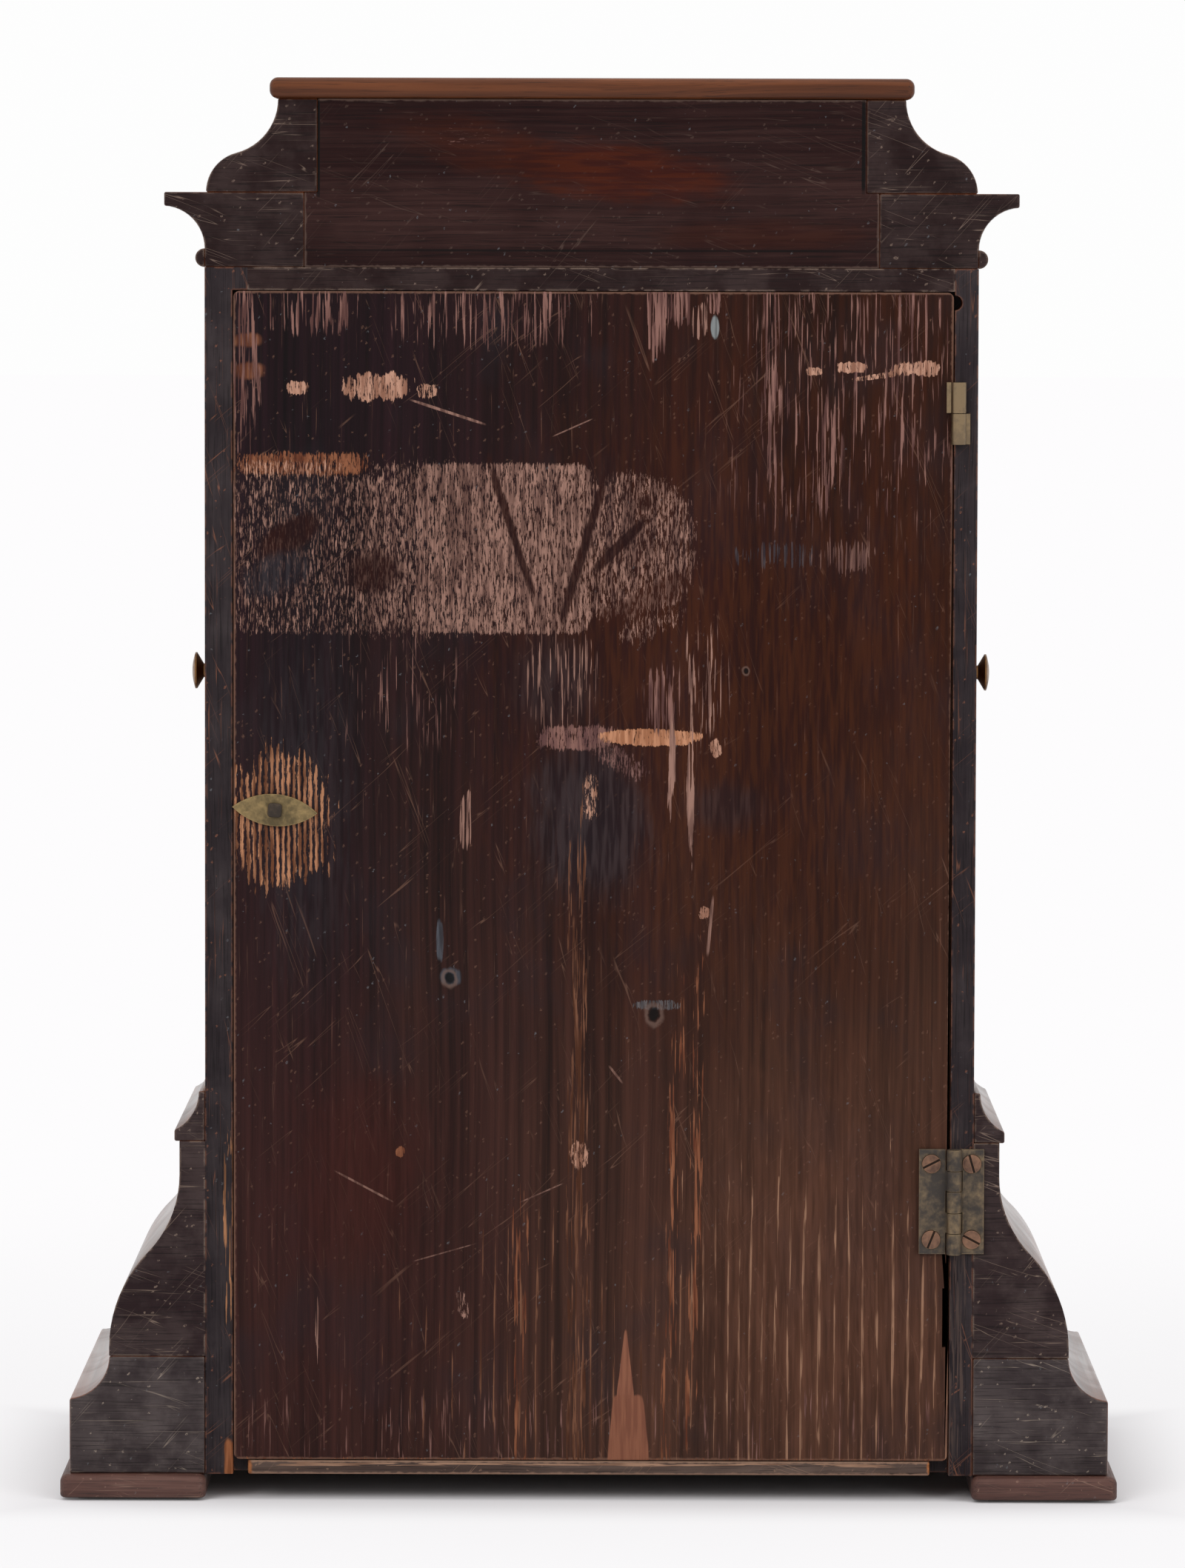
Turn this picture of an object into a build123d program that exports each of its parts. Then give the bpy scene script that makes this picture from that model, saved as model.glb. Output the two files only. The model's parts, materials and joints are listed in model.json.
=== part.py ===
"""Bell-top table clock in a wooden case, with its movement, dial, doors and pendulum.

Millimetres. +Z is up, the dial faces -Y and the back faces +Y. The origin is on the
floor under the middle of the case. Seen from the back, +X is on the left.
"""
from build123d import *
from math import acos, atan2, cos, degrees, hypot, pi, radians, sin, sqrt, tan
import os

os.makedirs("parts", exist_ok=True)

# Clearances and joints
joint_gap = 0.4
fit_gap = 0.05
seat_gap = 0.3
cut_overrun = 2.0

# Case body
case_width = 274.0
case_depth = 132.0
case_back_y = 90.5
side_thickness = 15.2
body_height = 290.5
front_frame_depth = 16.0

# Feet and pads
pad_thickness = 1.0
pad_inset = 6.0
foot_height = 8.4
foot_length = 52.0
foot_depth = 50.0
foot_overhang = 3.3
foot_round = 3.0
foot_top_round = 2.8
foot_bottom_round = 1.2

# Base mouldings, measured out from the case side
plinth_reach = 48.6
plinth_face_height = 27.0
plinth_height = 42.4
plinth_top_reach = 34.4
ogee_height = 77.2
ogee_top_reach = 9.2
ogee_lower_share = 0.55
ogee_fillet_height = 12.0
ogee_foot_height = 3.0
upper_base_height = 20.5
upper_lip_reach = 11.0
upper_lip_height = 4.0
upper_step_reach = 2.3
upper_step_height = 2.6

# Bead, cornice, bell top and cap
bead_height = 6.6
cornice_cove_reach = 14.3
cornice_cove_height = 15.0
cornice_fascia_height = 4.9
cornice_block_length = 35.3
bell_height = 33.0
bell_set_back = 0.5
bell_top_set_back = 26.0
bell_lower_share = 0.42
bell_block_length = 40.0
crown_board_thickness = 16.0
cap_height = 7.5
cap_set_back = 23.0
cap_back_overhang = 1.5
cap_round = 3.0

# Carcass boards
top_board_thickness = 8.0
bottom_board_thickness = 5.0
seat_board_thickness = 12.0
seat_board_drop = 98.0
seat_board_front_reach = 15.0
seat_board_back_reach = 4.0

# Rear door and its rebates
door_thickness = 8.0
latch_side_rebate = 5.4
hinge_side_rebate = 6.8
door_corner_round = 2.2
old_slot_width = 2.0
old_slot_length = 21.2
old_slot_rise = 40.9
old_slot_inset = 0.1
notch_radius = 2.6
notch_drop = 3.6

# Rear door hinges, which share one pin line
hinge_pin_out = 1.4
hinge_pin_back = 3.0
knuckle_radius = 2.7
pin_radius = 1.3
leaf_thickness = 1.5
butt_rise = 74.6
butt_height = 37.6
butt_door_reach = 12.5
butt_case_reach = 10.7
butt_knuckles = 5
knuckle_gap = 0.2
upper_hinge_drop = 53.6
upper_hinge_height = 22.0
upper_leaf_reach = 4.2
upper_leaf_thickness = 1.1
screw_head_radius = 3.3
screw_head_height = 1.1
screw_head_sink = 0.6
screw_slot_width = 0.8
screw_slot_depth = 0.5
screw_shank_radius = 1.6
screw_length = 9.0
screw_end_inset = 5.2
screw_side_inset = 4.4
screw_slot_angles = (28.0, 74.0, 112.0, 153.0)

# Turn latch
latch_edge_inset = 14.7
latch_rise = 232.7
latch_plate_length = 30.4
latch_plate_width = 11.4
latch_plate_thickness = 1.3
latch_tilt = 4.4
latch_head_size = 5.0
latch_head_height = 1.4
latch_spindle_radius = 2.0
latch_tongue_length = 15.0
latch_tongue_width = 8.0
latch_tongue_thickness = 1.6
latch_tongue_gap = 2.6
latch_slot_half_height = 15.5
latch_slot_depth = 7.0
latch_slot_width = 2.8

# Front door, hung on the +X side
front_stile = 30.0
front_low_rail = 20.0
front_shoulder_drop = 68.0
front_arch_step = 37.0
front_arch_rise = 50.0
glass_thickness = 2.0
glass_cover = 4.0
glass_set_in = 7.0
bezel_width = 3.0
bezel_depth = 2.5
front_knuckle_radius = 1.8
front_pin_radius = 0.8
front_leaf_thickness = 1.0
front_leaf_reach = 10.0
front_hinge_height = 24.0
front_hinge_inset = 34.0
front_knuckles = 3
escutcheon_half_length = 14.0
escutcheon_half_width = 6.0
escutcheon_thickness = 1.0
keyhole_radius = 1.8
keyhole_slot_width = 1.6
keyhole_slot_length = 6.0
lock_case_width = 9.0
lock_case_height = 34.0
lock_case_depth = 7.5
lock_wall = 1.2
lock_side_gap = 1.8
bolt_height = 9.0
bolt_thickness = 3.0
bolt_length = 7.7
bolt_travel = 5.0
lock_rise = 30.0

# Glazed side doors
side_door_sill = 4.0
side_door_top_gap = 38.0
side_door_front_gap = 17.5
side_door_back_gap = 4.2
side_door_thickness = 12.0
side_stile = 15.0
side_rail = 17.0
side_arch_rise = 14.0
side_glass_cover = 3.0
side_stop_lip = 3.0
side_pin_radius = 1.5
side_pin_length = 5.0
side_pin_hole_depth = 6.0
knob_disc_radius = 6.5
knob_neck_radius = 2.5
knob_projection = 5.4
knob_disc_thickness = 1.7
knob_edge = 0.6
knob_flare_length = 2.4
knob_tail_radius = 1.8
knob_tail_length = 7.0
knob_rise = 26.0

# Dial and hands
dial_rise = 100.5
dial_set_back = 3.5
dial_thickness = 1.5
dial_cover = 3.0
chapter_margin = 15.0
chapter_band = 30.0
chapter_thickness = 1.4
boss_radius = 24.0
boss_inner_radius = 19.0
boss_crown_gap = 4.0
boss_thickness = 1.6
spandrel_thickness = 2.0
spandrel_leaf_radius = 8.0
spandrel_scroll_radius = 5.0
dial_foot_radius = 2.5
dial_foot_inset = 25.0
dial_foot_z = 62.0
hand_thickness = 0.8
hour_hand_stand_off = 3.6
minute_hand_stand_off = 6.0
hour_hand_clearance = 7.0
minute_hand_clearance = 10.0
hand_width = 4.0
hand_boss_radius = 7.5
minute_spade_share = 0.62
hour_spade_share = 0.70
hour_angle = 150.0
minute_angle = 60.0
winding_square = 4.4
winding_hole_radius = 4.5

# Movement frame
dial_stand_off = 19.0
plate_thickness = 2.5
plate_half_width = 73.0
plate_height = 166.0
pillar_radius = 4.0
pillar_waist_radius = 2.8
pillar_inset = 9.0
pillar_tail_radius = 2.4
pivot_radius = 0.9
arbor_radius = 1.5

# Wheelwork
wheel_thickness = 1.6
tooth_height_share = 0.8
root_depth_share = 1.05
pressure_angle = 28.0
tooth_backlash = 0.10
pinion_leaves = 8
barrel_teeth = 84
barrel_module = 0.8
barrel_wheel_thickness = 3.0
barrel_drum_radius = 28.0
barrel_arbor_radius = 3.2
barrel_front_share = 0.173
barrel_length_share = 0.63
barrel_cap_lip = 1.2
winding_x = 35.5
centre_teeth = 84
centre_module = 0.55
third_teeth = 78
third_module = 0.5
third_angle = 60.0
escape_teeth = 36
escape_radius = 16.0
escape_tooth_height = 3.4
cannon_teeth = 30
minute_teeth = 40
hour_teeth = 72
motion_distance = 25.2
cannon_pipe_radius = 3.0
hour_pipe_radius = 4.6
pin_wheel_teeth = 60
pin_wheel_module = 0.5
pin_wheel_angle = 97.0
lifting_pins = 8
lifting_pin_radius = 0.9
lifting_pin_length = 4.2

# Escapement and pendulum
anchor_rise = 61.0
pallet_span_angle = 42.5
pallet_clearance = 1.6
pallet_drop = 1.4
anchor_arm_width = 4.0
escape_plane_share = 0.55
pendulum_door_gap = 18.5
pendulum_plate_gap = 10.0
pendulum_length = 237.0
pendulum_rod_radius = 1.5
bob_radius = 22.0
bob_half_thickness = 5.0
rating_nut_radius = 3.5
rating_nut_height = 4.0
rod_tail_length = 30.0
cock_depth = 17.0
cock_half_width = 14.0
cock_thickness = 2.5
cock_height = 16.0
cock_foot_height = 7.0

# Bell and hammer
bell_stand_reach = 35.0
bell_radius = 30.0
bell_rise_share = 0.17
bell_height_share = 0.305
bell_wall = 1.8
bell_post_radius = 2.0
bell_stand_width = 9.0
bell_stand_thickness = 2.5
hammer_x = -50.0
hammer_rise = 52.0
hammer_head_radius = 5.0
hammer_head_length = 10.0
hammer_rod_radius = 1.3
hammer_rest_gap = 0.8
hammer_tail_length = 12.0

# Places of the case, worked out from the driving sizes
half_case = case_width / 2
case_front_y = case_back_y - case_depth
case_bottom_z = pad_thickness + foot_height
side_inner_x = half_case - side_thickness
frame_back_y = case_front_y + front_frame_depth
plinth_top_z = case_bottom_z + plinth_height
ogee_top_z = plinth_top_z + ogee_height
upper_base_top_z = ogee_top_z + upper_base_height
body_top_z = upper_base_top_z + body_height
cornice_bottom_z = body_top_z + bead_height
cornice_cove_top_z = cornice_bottom_z + cornice_cove_height
cornice_top_z = cornice_cove_top_z + cornice_fascia_height
bell_top_z = cornice_top_z + bell_height
case_top_z = bell_top_z + cap_height
bottom_board_top_z = case_bottom_z + bottom_board_thickness
top_board_bottom_z = body_top_z - top_board_thickness

# Places of the rear door, its hinges and its latch
door_front_y = case_back_y - door_thickness
rebate_y = door_front_y - seat_gap
hinge_side_door_x = -(half_case - side_thickness + hinge_side_rebate - joint_gap)
latch_side_door_x = half_case - side_thickness + latch_side_rebate - joint_gap
door_low_z = bottom_board_top_z + joint_gap
door_high_z = top_board_bottom_z - joint_gap
old_slot_z = door_low_z + old_slot_rise
notch_z = door_high_z - notch_drop
hinge_pin_x = -(side_inner_x + hinge_side_rebate + hinge_pin_out)
hinge_pin_y = case_back_y + hinge_pin_back
butt_low_z = door_low_z + butt_rise
upper_hinge_low_z = door_high_z - upper_hinge_drop
latch_x = latch_side_door_x - latch_edge_inset
latch_z = door_low_z + latch_rise

# Places of the front door, the dial and the hands
opening_half = half_case - front_stile
front_arch_half = opening_half - front_arch_step
glass_low_z = upper_base_top_z + front_low_rail
front_shoulder_z = body_top_z - front_shoulder_drop
dial_centre_z = glass_low_z + dial_rise
dial_front_y = frame_back_y + dial_set_back
chapter_outer_radius = opening_half - chapter_margin
chapter_inner_radius = chapter_outer_radius - chapter_band
hour_hand_y = dial_front_y - hour_hand_stand_off
minute_hand_y = dial_front_y - minute_hand_stand_off
hour_hand_length = chapter_inner_radius - hour_hand_clearance
minute_hand_length = chapter_outer_radius - minute_hand_clearance
lock_z = dial_centre_z + lock_rise

# Places of the movement between the dial and the pendulum
front_plate_y = dial_front_y + dial_stand_off
front_plate_back_y = front_plate_y + plate_thickness
pendulum_y = door_front_y - pendulum_door_gap
back_plate_back_y = pendulum_y - pendulum_plate_gap
back_plate_y = back_plate_back_y - plate_thickness
plate_gap = back_plate_y - front_plate_back_y
seat_board_z = dial_centre_z - seat_board_drop
seat_board_top_z = seat_board_z + seat_board_thickness
seat_board_front_y = front_plate_y - seat_board_front_reach
seat_board_back_y = back_plate_back_y + seat_board_back_reach
plate_low_z = seat_board_top_z
plate_high_z = plate_low_z + plate_height
dial_foot_x = plate_half_width - dial_foot_inset
barrel_front_gap = barrel_front_share * plate_gap
barrel_drum_length = barrel_length_share * plate_gap
escape_plane_y = front_plate_back_y + escape_plane_share * plate_gap
anchor_arbor_z = dial_centre_z + anchor_rise
bell_centre_y = back_plate_back_y - bell_stand_reach
bell_room = top_board_bottom_z - plate_high_z
bell_rim_z = plate_high_z + bell_rise_share * bell_room
bell_height_inside = bell_height_share * bell_room
hammer_z = dial_centre_z + hammer_rise

# Places of the side doors and their knobs
side_door_low_z = seat_board_top_z + side_door_sill
side_door_high_z = body_top_z - side_door_top_gap
side_door_front_y = frame_back_y + side_door_front_gap
side_door_back_y = rebate_y - side_door_back_gap
knob_z = dial_centre_z + knob_rise
far = case_width + case_depth


def block(x_low, x_high, y_low, y_high, z_low, z_high, mode=Mode.ADD):
    """A rectangular block between two corners, put into the part being built."""
    middle = ((x_low + x_high) / 2, (y_low + y_high) / 2, (z_low + z_high) / 2)
    with Locations(middle):
        Box(abs(x_high - x_low), abs(y_high - y_low), abs(z_high - z_low), mode=mode)


def upright_plane(y, x=0, z=0):
    """A plane parallel to the dial, seen from the dial side, at the given depth."""
    return Plane(origin=(x, y, z), x_dir=(1, 0, 0), z_dir=(0, -1, 0))


def filled(plane, outline):
    """A sketch face on the plane, inside the closed outline that the function draws."""
    with BuildSketch(plane) as face:
        with BuildLine():
            outline()
        make_face()
    return face.sketch


def rod_along_y(x, z, y_low, y_high, radius, mode=Mode.ADD):
    """A round rod or hole along Y."""
    with BuildSketch(upright_plane(y_high, x, z)) as disc:
        Circle(radius)
    extrude(disc.sketch, amount=y_high - y_low, mode=mode)


def rod_along_z(x, y, z_low, z_high, radius, mode=Mode.ADD):
    """A round rod or hole along Z."""
    with BuildSketch(Plane(origin=(x, y, z_low))) as disc:
        Circle(radius)
    extrude(disc.sketch, amount=z_high - z_low, mode=mode)


def rod_along_x(y, z, x_low, x_high, radius, mode=Mode.ADD):
    """A round rod or hole along X."""
    start = min(x_low, x_high)
    with BuildSketch(Plane(origin=(start, y, z), x_dir=(0, 1, 0), z_dir=(1, 0, 0))) as disc:
        Circle(radius)
    extrude(disc.sketch, amount=abs(x_high - x_low), mode=mode)


def wrapped_moulding(outline, inner_half_width, inner_front_y):
    """A moulding round the front and both sides, mitred at the front corners.

    The outline function draws the closed section, given how far inward it must reach.
    Its first coordinate is measured out from the case side, its second is the height.
    """
    right = Plane(origin=(half_case, case_back_y, 0), x_dir=(1, 0, 0), z_dir=(0, -1, 0))
    front = Plane(origin=(far, case_front_y, 0), x_dir=(0, -1, 0), z_dir=(-1, 0, 0))
    side_face = filled(right, lambda: outline(half_case))
    extrude(side_face, amount=far)
    mirror(about=Plane.YZ)
    extrude(filled(front, lambda: outline(case_depth)), amount=far + far, mode=Mode.INTERSECT)
    block(-inner_half_width, inner_half_width, inner_front_y, case_back_y + cut_overrun,
          0, case_top_z + cut_overrun, mode=Mode.SUBTRACT)


def double_curve(start, end, first_share):
    """Two tangent arcs from start to end, upright at both ends, bending at the share."""
    bend = (start[0] + (end[0] - start[0]) * first_share, start[1] + (end[1] - start[1]) * first_share)
    TangentArc(start, bend, tangent=(0, 1))
    TangentArc(end, bend, tangent=(0, -1))


def plinth_outline(inward):
    """Plinth section: an upright face with a cove above it."""
    low = case_bottom_z
    face_top = low + plinth_face_height
    Line((-inward, low), (plinth_reach, low))
    Line((plinth_reach, low), (plinth_reach, face_top))
    TangentArc((plinth_top_reach, plinth_top_z), (plinth_reach, face_top), tangent=(0, -1))
    Line((plinth_top_reach, plinth_top_z), (-inward, plinth_top_z))
    Line((-inward, plinth_top_z), (-inward, low))


def ogee_outline(inward):
    """Large base section: a swelling curve that turns hollow and ends upright."""
    curve_foot = (plinth_top_reach, plinth_top_z + ogee_foot_height)
    curve_head = (ogee_top_reach, ogee_top_z - ogee_fillet_height)
    Line((-inward, plinth_top_z), (plinth_top_reach, plinth_top_z))
    Line((plinth_top_reach, plinth_top_z), curve_foot)
    double_curve(curve_foot, curve_head, ogee_lower_share)
    Line(curve_head, (ogee_top_reach, ogee_top_z))
    Line((ogee_top_reach, ogee_top_z), (-inward, ogee_top_z))
    Line((-inward, ogee_top_z), (-inward, plinth_top_z))


def upper_base_outline(inward):
    """Small top base section: a lip, a cove and a narrow step."""
    lip_top = (upper_lip_reach, ogee_top_z + upper_lip_height)
    cove_top = (upper_step_reach, upper_base_top_z - upper_step_height)
    Line((-inward, ogee_top_z), (upper_lip_reach, ogee_top_z))
    Line((upper_lip_reach, ogee_top_z), lip_top)
    TangentArc(cove_top, lip_top, tangent=(0, -1))
    Line(cove_top, (0, cove_top[1]))
    Line((0, cove_top[1]), (0, upper_base_top_z))
    Line((0, upper_base_top_z), (-inward, upper_base_top_z))
    Line((-inward, upper_base_top_z), (-inward, ogee_top_z))


def bead_outline(inward):
    """Half-round bead."""
    bead_radius = bead_height / 2
    Line((-inward, body_top_z), (0, body_top_z))
    ThreePointArc((0, body_top_z), (bead_radius, body_top_z + bead_radius), (0, cornice_bottom_z))
    Line((0, cornice_bottom_z), (-inward, cornice_bottom_z))
    Line((-inward, cornice_bottom_z), (-inward, body_top_z))


def cornice_outline(inward):
    """Cornice section: upright behind the bead, then a cove and a fascia."""
    Line((-inward, body_top_z), (0, body_top_z))
    Line((0, body_top_z), (0, cornice_bottom_z))
    TangentArc((0, cornice_bottom_z), (cornice_cove_reach, cornice_cove_top_z), tangent=(0, 1))
    Line((cornice_cove_reach, cornice_cove_top_z), (cornice_cove_reach, cornice_top_z))
    Line((cornice_cove_reach, cornice_top_z), (-inward, cornice_top_z))
    Line((-inward, cornice_top_z), (-inward, body_top_z))


def bell_outline(inward):
    """Bell section: a short swelling curve, then a hollow one up to the cap."""
    curve_foot = (-bell_set_back, cornice_top_z)
    curve_head = (-bell_top_set_back, bell_top_z)
    Line((-inward, cornice_top_z), curve_foot)
    double_curve(curve_foot, curve_head, bell_lower_share)
    Line(curve_head, (-inward, bell_top_z))
    Line((-inward, bell_top_z), (-inward, cornice_top_z))


# Feet and felt pads
foot_outer_x = half_case + plinth_reach + foot_overhang
foot_back_y = case_back_y + foot_overhang
foot_front_y = case_front_y - plinth_reach - foot_overhang
foot_middles = [
    (side * (foot_outer_x - foot_length / 2), y)
    for side in (-1, 1)
    for y in (foot_front_y + foot_depth / 2, foot_back_y - foot_depth / 2)
]

with BuildPart() as block_feet:
    with BuildSketch(Plane.XY.offset(pad_thickness)):
        with Locations(*foot_middles):
            RectangleRounded(foot_length, foot_depth, foot_round)
    extrude(amount=foot_height)
    fillet(block_feet.edges().group_by(Axis.Z)[-1], foot_top_round)
    fillet(block_feet.edges().group_by(Axis.Z)[0], foot_bottom_round)
block_feet.part.label = "block_feet"

with BuildPart() as felt_pads:
    with BuildSketch(Plane.XY):
        with Locations(*foot_middles):
            Rectangle(foot_length - 2 * pad_inset, foot_depth - 2 * pad_inset)
    extrude(amount=pad_thickness)
felt_pads.part.label = "felt_pads"

# Rear hinge places, which the wood is drilled for
knuckle_pitch = butt_height / butt_knuckles
leaf_edge = knuckle_radius + seat_gap
upper_middle_z = upper_hinge_low_z + upper_hinge_height / 2
butt_high_z = butt_low_z + butt_height
upper_hinge_high_z = upper_hinge_low_z + upper_hinge_height
screw_zs = (butt_low_z + screw_end_inset, butt_high_z - screw_end_inset)
case_screw_x = hinge_pin_x - butt_case_reach + screw_side_inset
door_screw_x = hinge_pin_x + butt_door_reach - screw_side_inset
screw_sunk_y = case_back_y + leaf_thickness - screw_head_sink


def drill_for_screws(screw_x):
    """Drill the wood for one pair of hinge screws."""
    for z in screw_zs:
        rod_along_y(screw_x, z, screw_sunk_y - screw_length - fit_gap, case_back_y + cut_overrun,
                    screw_shank_radius + fit_gap, mode=Mode.SUBTRACT)


# Base mouldings
with BuildPart() as plinth_moulding:
    wrapped_moulding(plinth_outline, half_case, case_front_y)
plinth_moulding.part.label = "plinth_moulding"

with BuildPart() as ogee_moulding:
    wrapped_moulding(ogee_outline, half_case, case_front_y)
    drill_for_screws(case_screw_x)
ogee_moulding.part.label = "ogee_moulding"

with BuildPart() as upper_base_moulding:
    wrapped_moulding(upper_base_outline, half_case, case_front_y)
upper_base_moulding.part.label = "upper_base_moulding"

# Bead, cornice and bell top
with BuildPart() as bead_moulding:
    wrapped_moulding(bead_outline, half_case, case_front_y)
bead_moulding.part.label = "bead_moulding"

cornice_inner_x = half_case - cornice_block_length
with BuildPart() as cornice_moulding:
    wrapped_moulding(cornice_outline, cornice_inner_x, case_front_y + cornice_block_length)
cornice_moulding.part.label = "cornice_moulding"

bell_inner_x = half_case - bell_block_length
with BuildPart() as bell_top_moulding:
    wrapped_moulding(bell_outline, bell_inner_x, case_front_y + bell_block_length)
bell_top_moulding.part.label = "bell_top_moulding"

# Crown board that closes the back between the end blocks
crown_front_y = case_back_y - crown_board_thickness
with BuildPart() as crown_back_board:
    block(-cornice_inner_x, cornice_inner_x, crown_front_y, case_back_y, body_top_z, cornice_top_z)
    block(-bell_inner_x, bell_inner_x, crown_front_y, case_back_y, cornice_top_z, bell_top_z)
crown_back_board.part.label = "crown_back_board"

# Top cap
cap_half = half_case - cap_set_back
with BuildPart() as top_cap:
    block(-cap_half, cap_half, case_front_y + cap_set_back, case_back_y + cap_back_overhang,
          bell_top_z, case_top_z)
    fillet(top_cap.edges().filter_by(Axis.Z), cap_round)
    fillet(top_cap.edges().group_by(Axis.Z)[-1], cap_round)
    fillet(top_cap.edges().group_by(Axis.Z)[0], cap_round)
top_cap.part.label = "top_cap"

# Side door places that the case sides share
side_pin_x = half_case - side_door_thickness / 2
side_pin_y = side_door_front_y + side_door_thickness / 2
side_glass_low_z = side_door_low_z + side_rail
side_glass_high_z = side_door_high_z - side_rail


def cut_side_openings(side):
    """Cut the side door opening, its stop lip and the pin holes into one case side."""
    inner, stop, outer = side_inner_x - cut_overrun, half_case - side_door_thickness - seat_gap, half_case
    cuts = (
        (stop, outer + cut_overrun, joint_gap),
        (inner, stop, -side_stop_lip),
    )
    for start, end, grow in cuts:
        block(side * start, side * end, side_door_front_y - grow, side_door_back_y + grow,
              side_door_low_z - grow, side_door_high_z + grow, mode=Mode.SUBTRACT)
    rod_along_z(side * side_pin_x, side_pin_y, side_door_low_z - joint_gap - side_pin_hole_depth,
                side_door_high_z + joint_gap + side_pin_hole_depth, side_pin_radius + fit_gap,
                mode=Mode.SUBTRACT)


# Case sides, rebated at the back for the door
bolt_y = frame_back_y + lock_case_depth / 2
tongue_back_y = door_front_y - latch_tongue_gap
latch_slot_middle_y = tongue_back_y - latch_tongue_thickness / 2
with BuildPart() as case_side_latch:
    block(side_inner_x, half_case, frame_back_y, case_back_y, case_bottom_z, body_top_z)
    block(side_inner_x - cut_overrun, side_inner_x + latch_side_rebate, rebate_y,
          case_back_y + cut_overrun, case_bottom_z - cut_overrun, top_board_bottom_z,
          mode=Mode.SUBTRACT)
    block(side_inner_x - cut_overrun, side_inner_x + latch_slot_depth,
          latch_slot_middle_y - latch_slot_width / 2, latch_slot_middle_y + latch_slot_width / 2,
          latch_z - latch_slot_half_height, latch_z + latch_slot_half_height, mode=Mode.SUBTRACT)
    cut_side_openings(1)
case_side_latch.part.label = "case_side_latch"

with BuildPart() as case_side_hinge:
    block(-half_case, -side_inner_x, frame_back_y, case_back_y, case_bottom_z, body_top_z)
    block(-side_inner_x - hinge_side_rebate, -side_inner_x + cut_overrun, rebate_y,
          case_back_y + cut_overrun, case_bottom_z - cut_overrun, body_top_z + cut_overrun,
          mode=Mode.SUBTRACT)
    rod_along_y(-side_inner_x - hinge_side_rebate, notch_z, rebate_y, case_back_y + cut_overrun,
                notch_radius, mode=Mode.SUBTRACT)
    block(-side_inner_x - bolt_travel - joint_gap, -side_inner_x + cut_overrun,
          bolt_y - bolt_thickness / 2 - joint_gap, bolt_y + bolt_thickness / 2 + joint_gap,
          lock_z - bolt_height / 2 - joint_gap, lock_z + bolt_height / 2 + joint_gap,
          mode=Mode.SUBTRACT)
    cut_side_openings(-1)
    drill_for_screws(case_screw_x)
case_side_hinge.part.label = "case_side_hinge"

# Boards between the case sides
with BuildPart() as bottom_board:
    block(-side_inner_x, side_inner_x, frame_back_y, case_back_y, case_bottom_z, bottom_board_top_z)
bottom_board.part.label = "bottom_board"

with BuildPart() as top_board:
    block(-side_inner_x, side_inner_x, frame_back_y, case_back_y, top_board_bottom_z, body_top_z)
    block(-side_inner_x - hinge_side_rebate, -side_inner_x, rebate_y, case_back_y,
          top_board_bottom_z, body_top_z)
top_board.part.label = "top_board"

with BuildPart() as lower_front_rail:
    block(-half_case, half_case, case_front_y, frame_back_y, case_bottom_z, upper_base_top_z)
lower_front_rail.part.label = "lower_front_rail"

with BuildPart() as seat_board:
    block(-side_inner_x, side_inner_x, seat_board_front_y, seat_board_back_y, seat_board_z,
          seat_board_top_z)
seat_board.part.label = "seat_board"

# Rear door
spindle_hole_radius = latch_spindle_radius + fit_gap
with BuildPart() as rear_door:
    block(hinge_side_door_x, latch_side_door_x, door_front_y, case_back_y, door_low_z, door_high_z)
    fillet(rear_door.edges().filter_by(Axis.Y), door_corner_round)
    old_slot_x = hinge_side_door_x + old_slot_inset
    block(old_slot_x, old_slot_x + old_slot_width, door_front_y - cut_overrun,
          case_back_y + cut_overrun, old_slot_z, old_slot_z + old_slot_length, mode=Mode.SUBTRACT)
    rod_along_y(latch_x, latch_z, door_front_y - cut_overrun, case_back_y + cut_overrun,
                spindle_hole_radius, mode=Mode.SUBTRACT)
    drill_for_screws(door_screw_x)
rear_door.part.label = "rear_door"

# Rear hinges: knuckles in turn on the case leaf and the door leaf


def knuckle(z_low, z_high, reach, thickness, centre_x, centre_y, back_y, radius):
    """One hinge knuckle with the tongue of its leaf, which runs out to the given reach."""
    rod_along_z(centre_x, centre_y, z_low, z_high, radius)
    block(centre_x, centre_x + reach, back_y, back_y + thickness, z_low, z_high)


def screw_hole(x, z):
    """A hole for a hinge screw's head and shank."""
    rod_along_y(x, z, case_back_y - cut_overrun, case_back_y + cut_overrun,
                screw_shank_radius + fit_gap, mode=Mode.SUBTRACT)
    rod_along_y(x, z, screw_sunk_y, case_back_y + cut_overrun, screw_head_radius + fit_gap,
                mode=Mode.SUBTRACT)


with BuildPart() as rear_hinge_case_leaves:
    block(hinge_pin_x - butt_case_reach, hinge_pin_x - leaf_edge, case_back_y,
          case_back_y + leaf_thickness, butt_low_z, butt_high_z)
    for index in range(0, butt_knuckles, 2):
        low = butt_low_z + index * knuckle_pitch
        knuckle(low, low + knuckle_pitch, -leaf_edge, leaf_thickness, hinge_pin_x, hinge_pin_y,
                case_back_y, knuckle_radius)
    rod_along_z(hinge_pin_x, hinge_pin_y, butt_low_z, butt_high_z, pin_radius)
    for z in screw_zs:
        screw_hole(case_screw_x, z)
    knuckle(upper_hinge_low_z, upper_middle_z - knuckle_gap / 2, -upper_leaf_reach,
            upper_leaf_thickness, hinge_pin_x, hinge_pin_y, case_back_y, knuckle_radius)
    rod_along_z(hinge_pin_x, hinge_pin_y, upper_hinge_low_z, upper_hinge_high_z, pin_radius)
rear_hinge_case_leaves.part.label = "rear_hinge_case_leaves"

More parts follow.
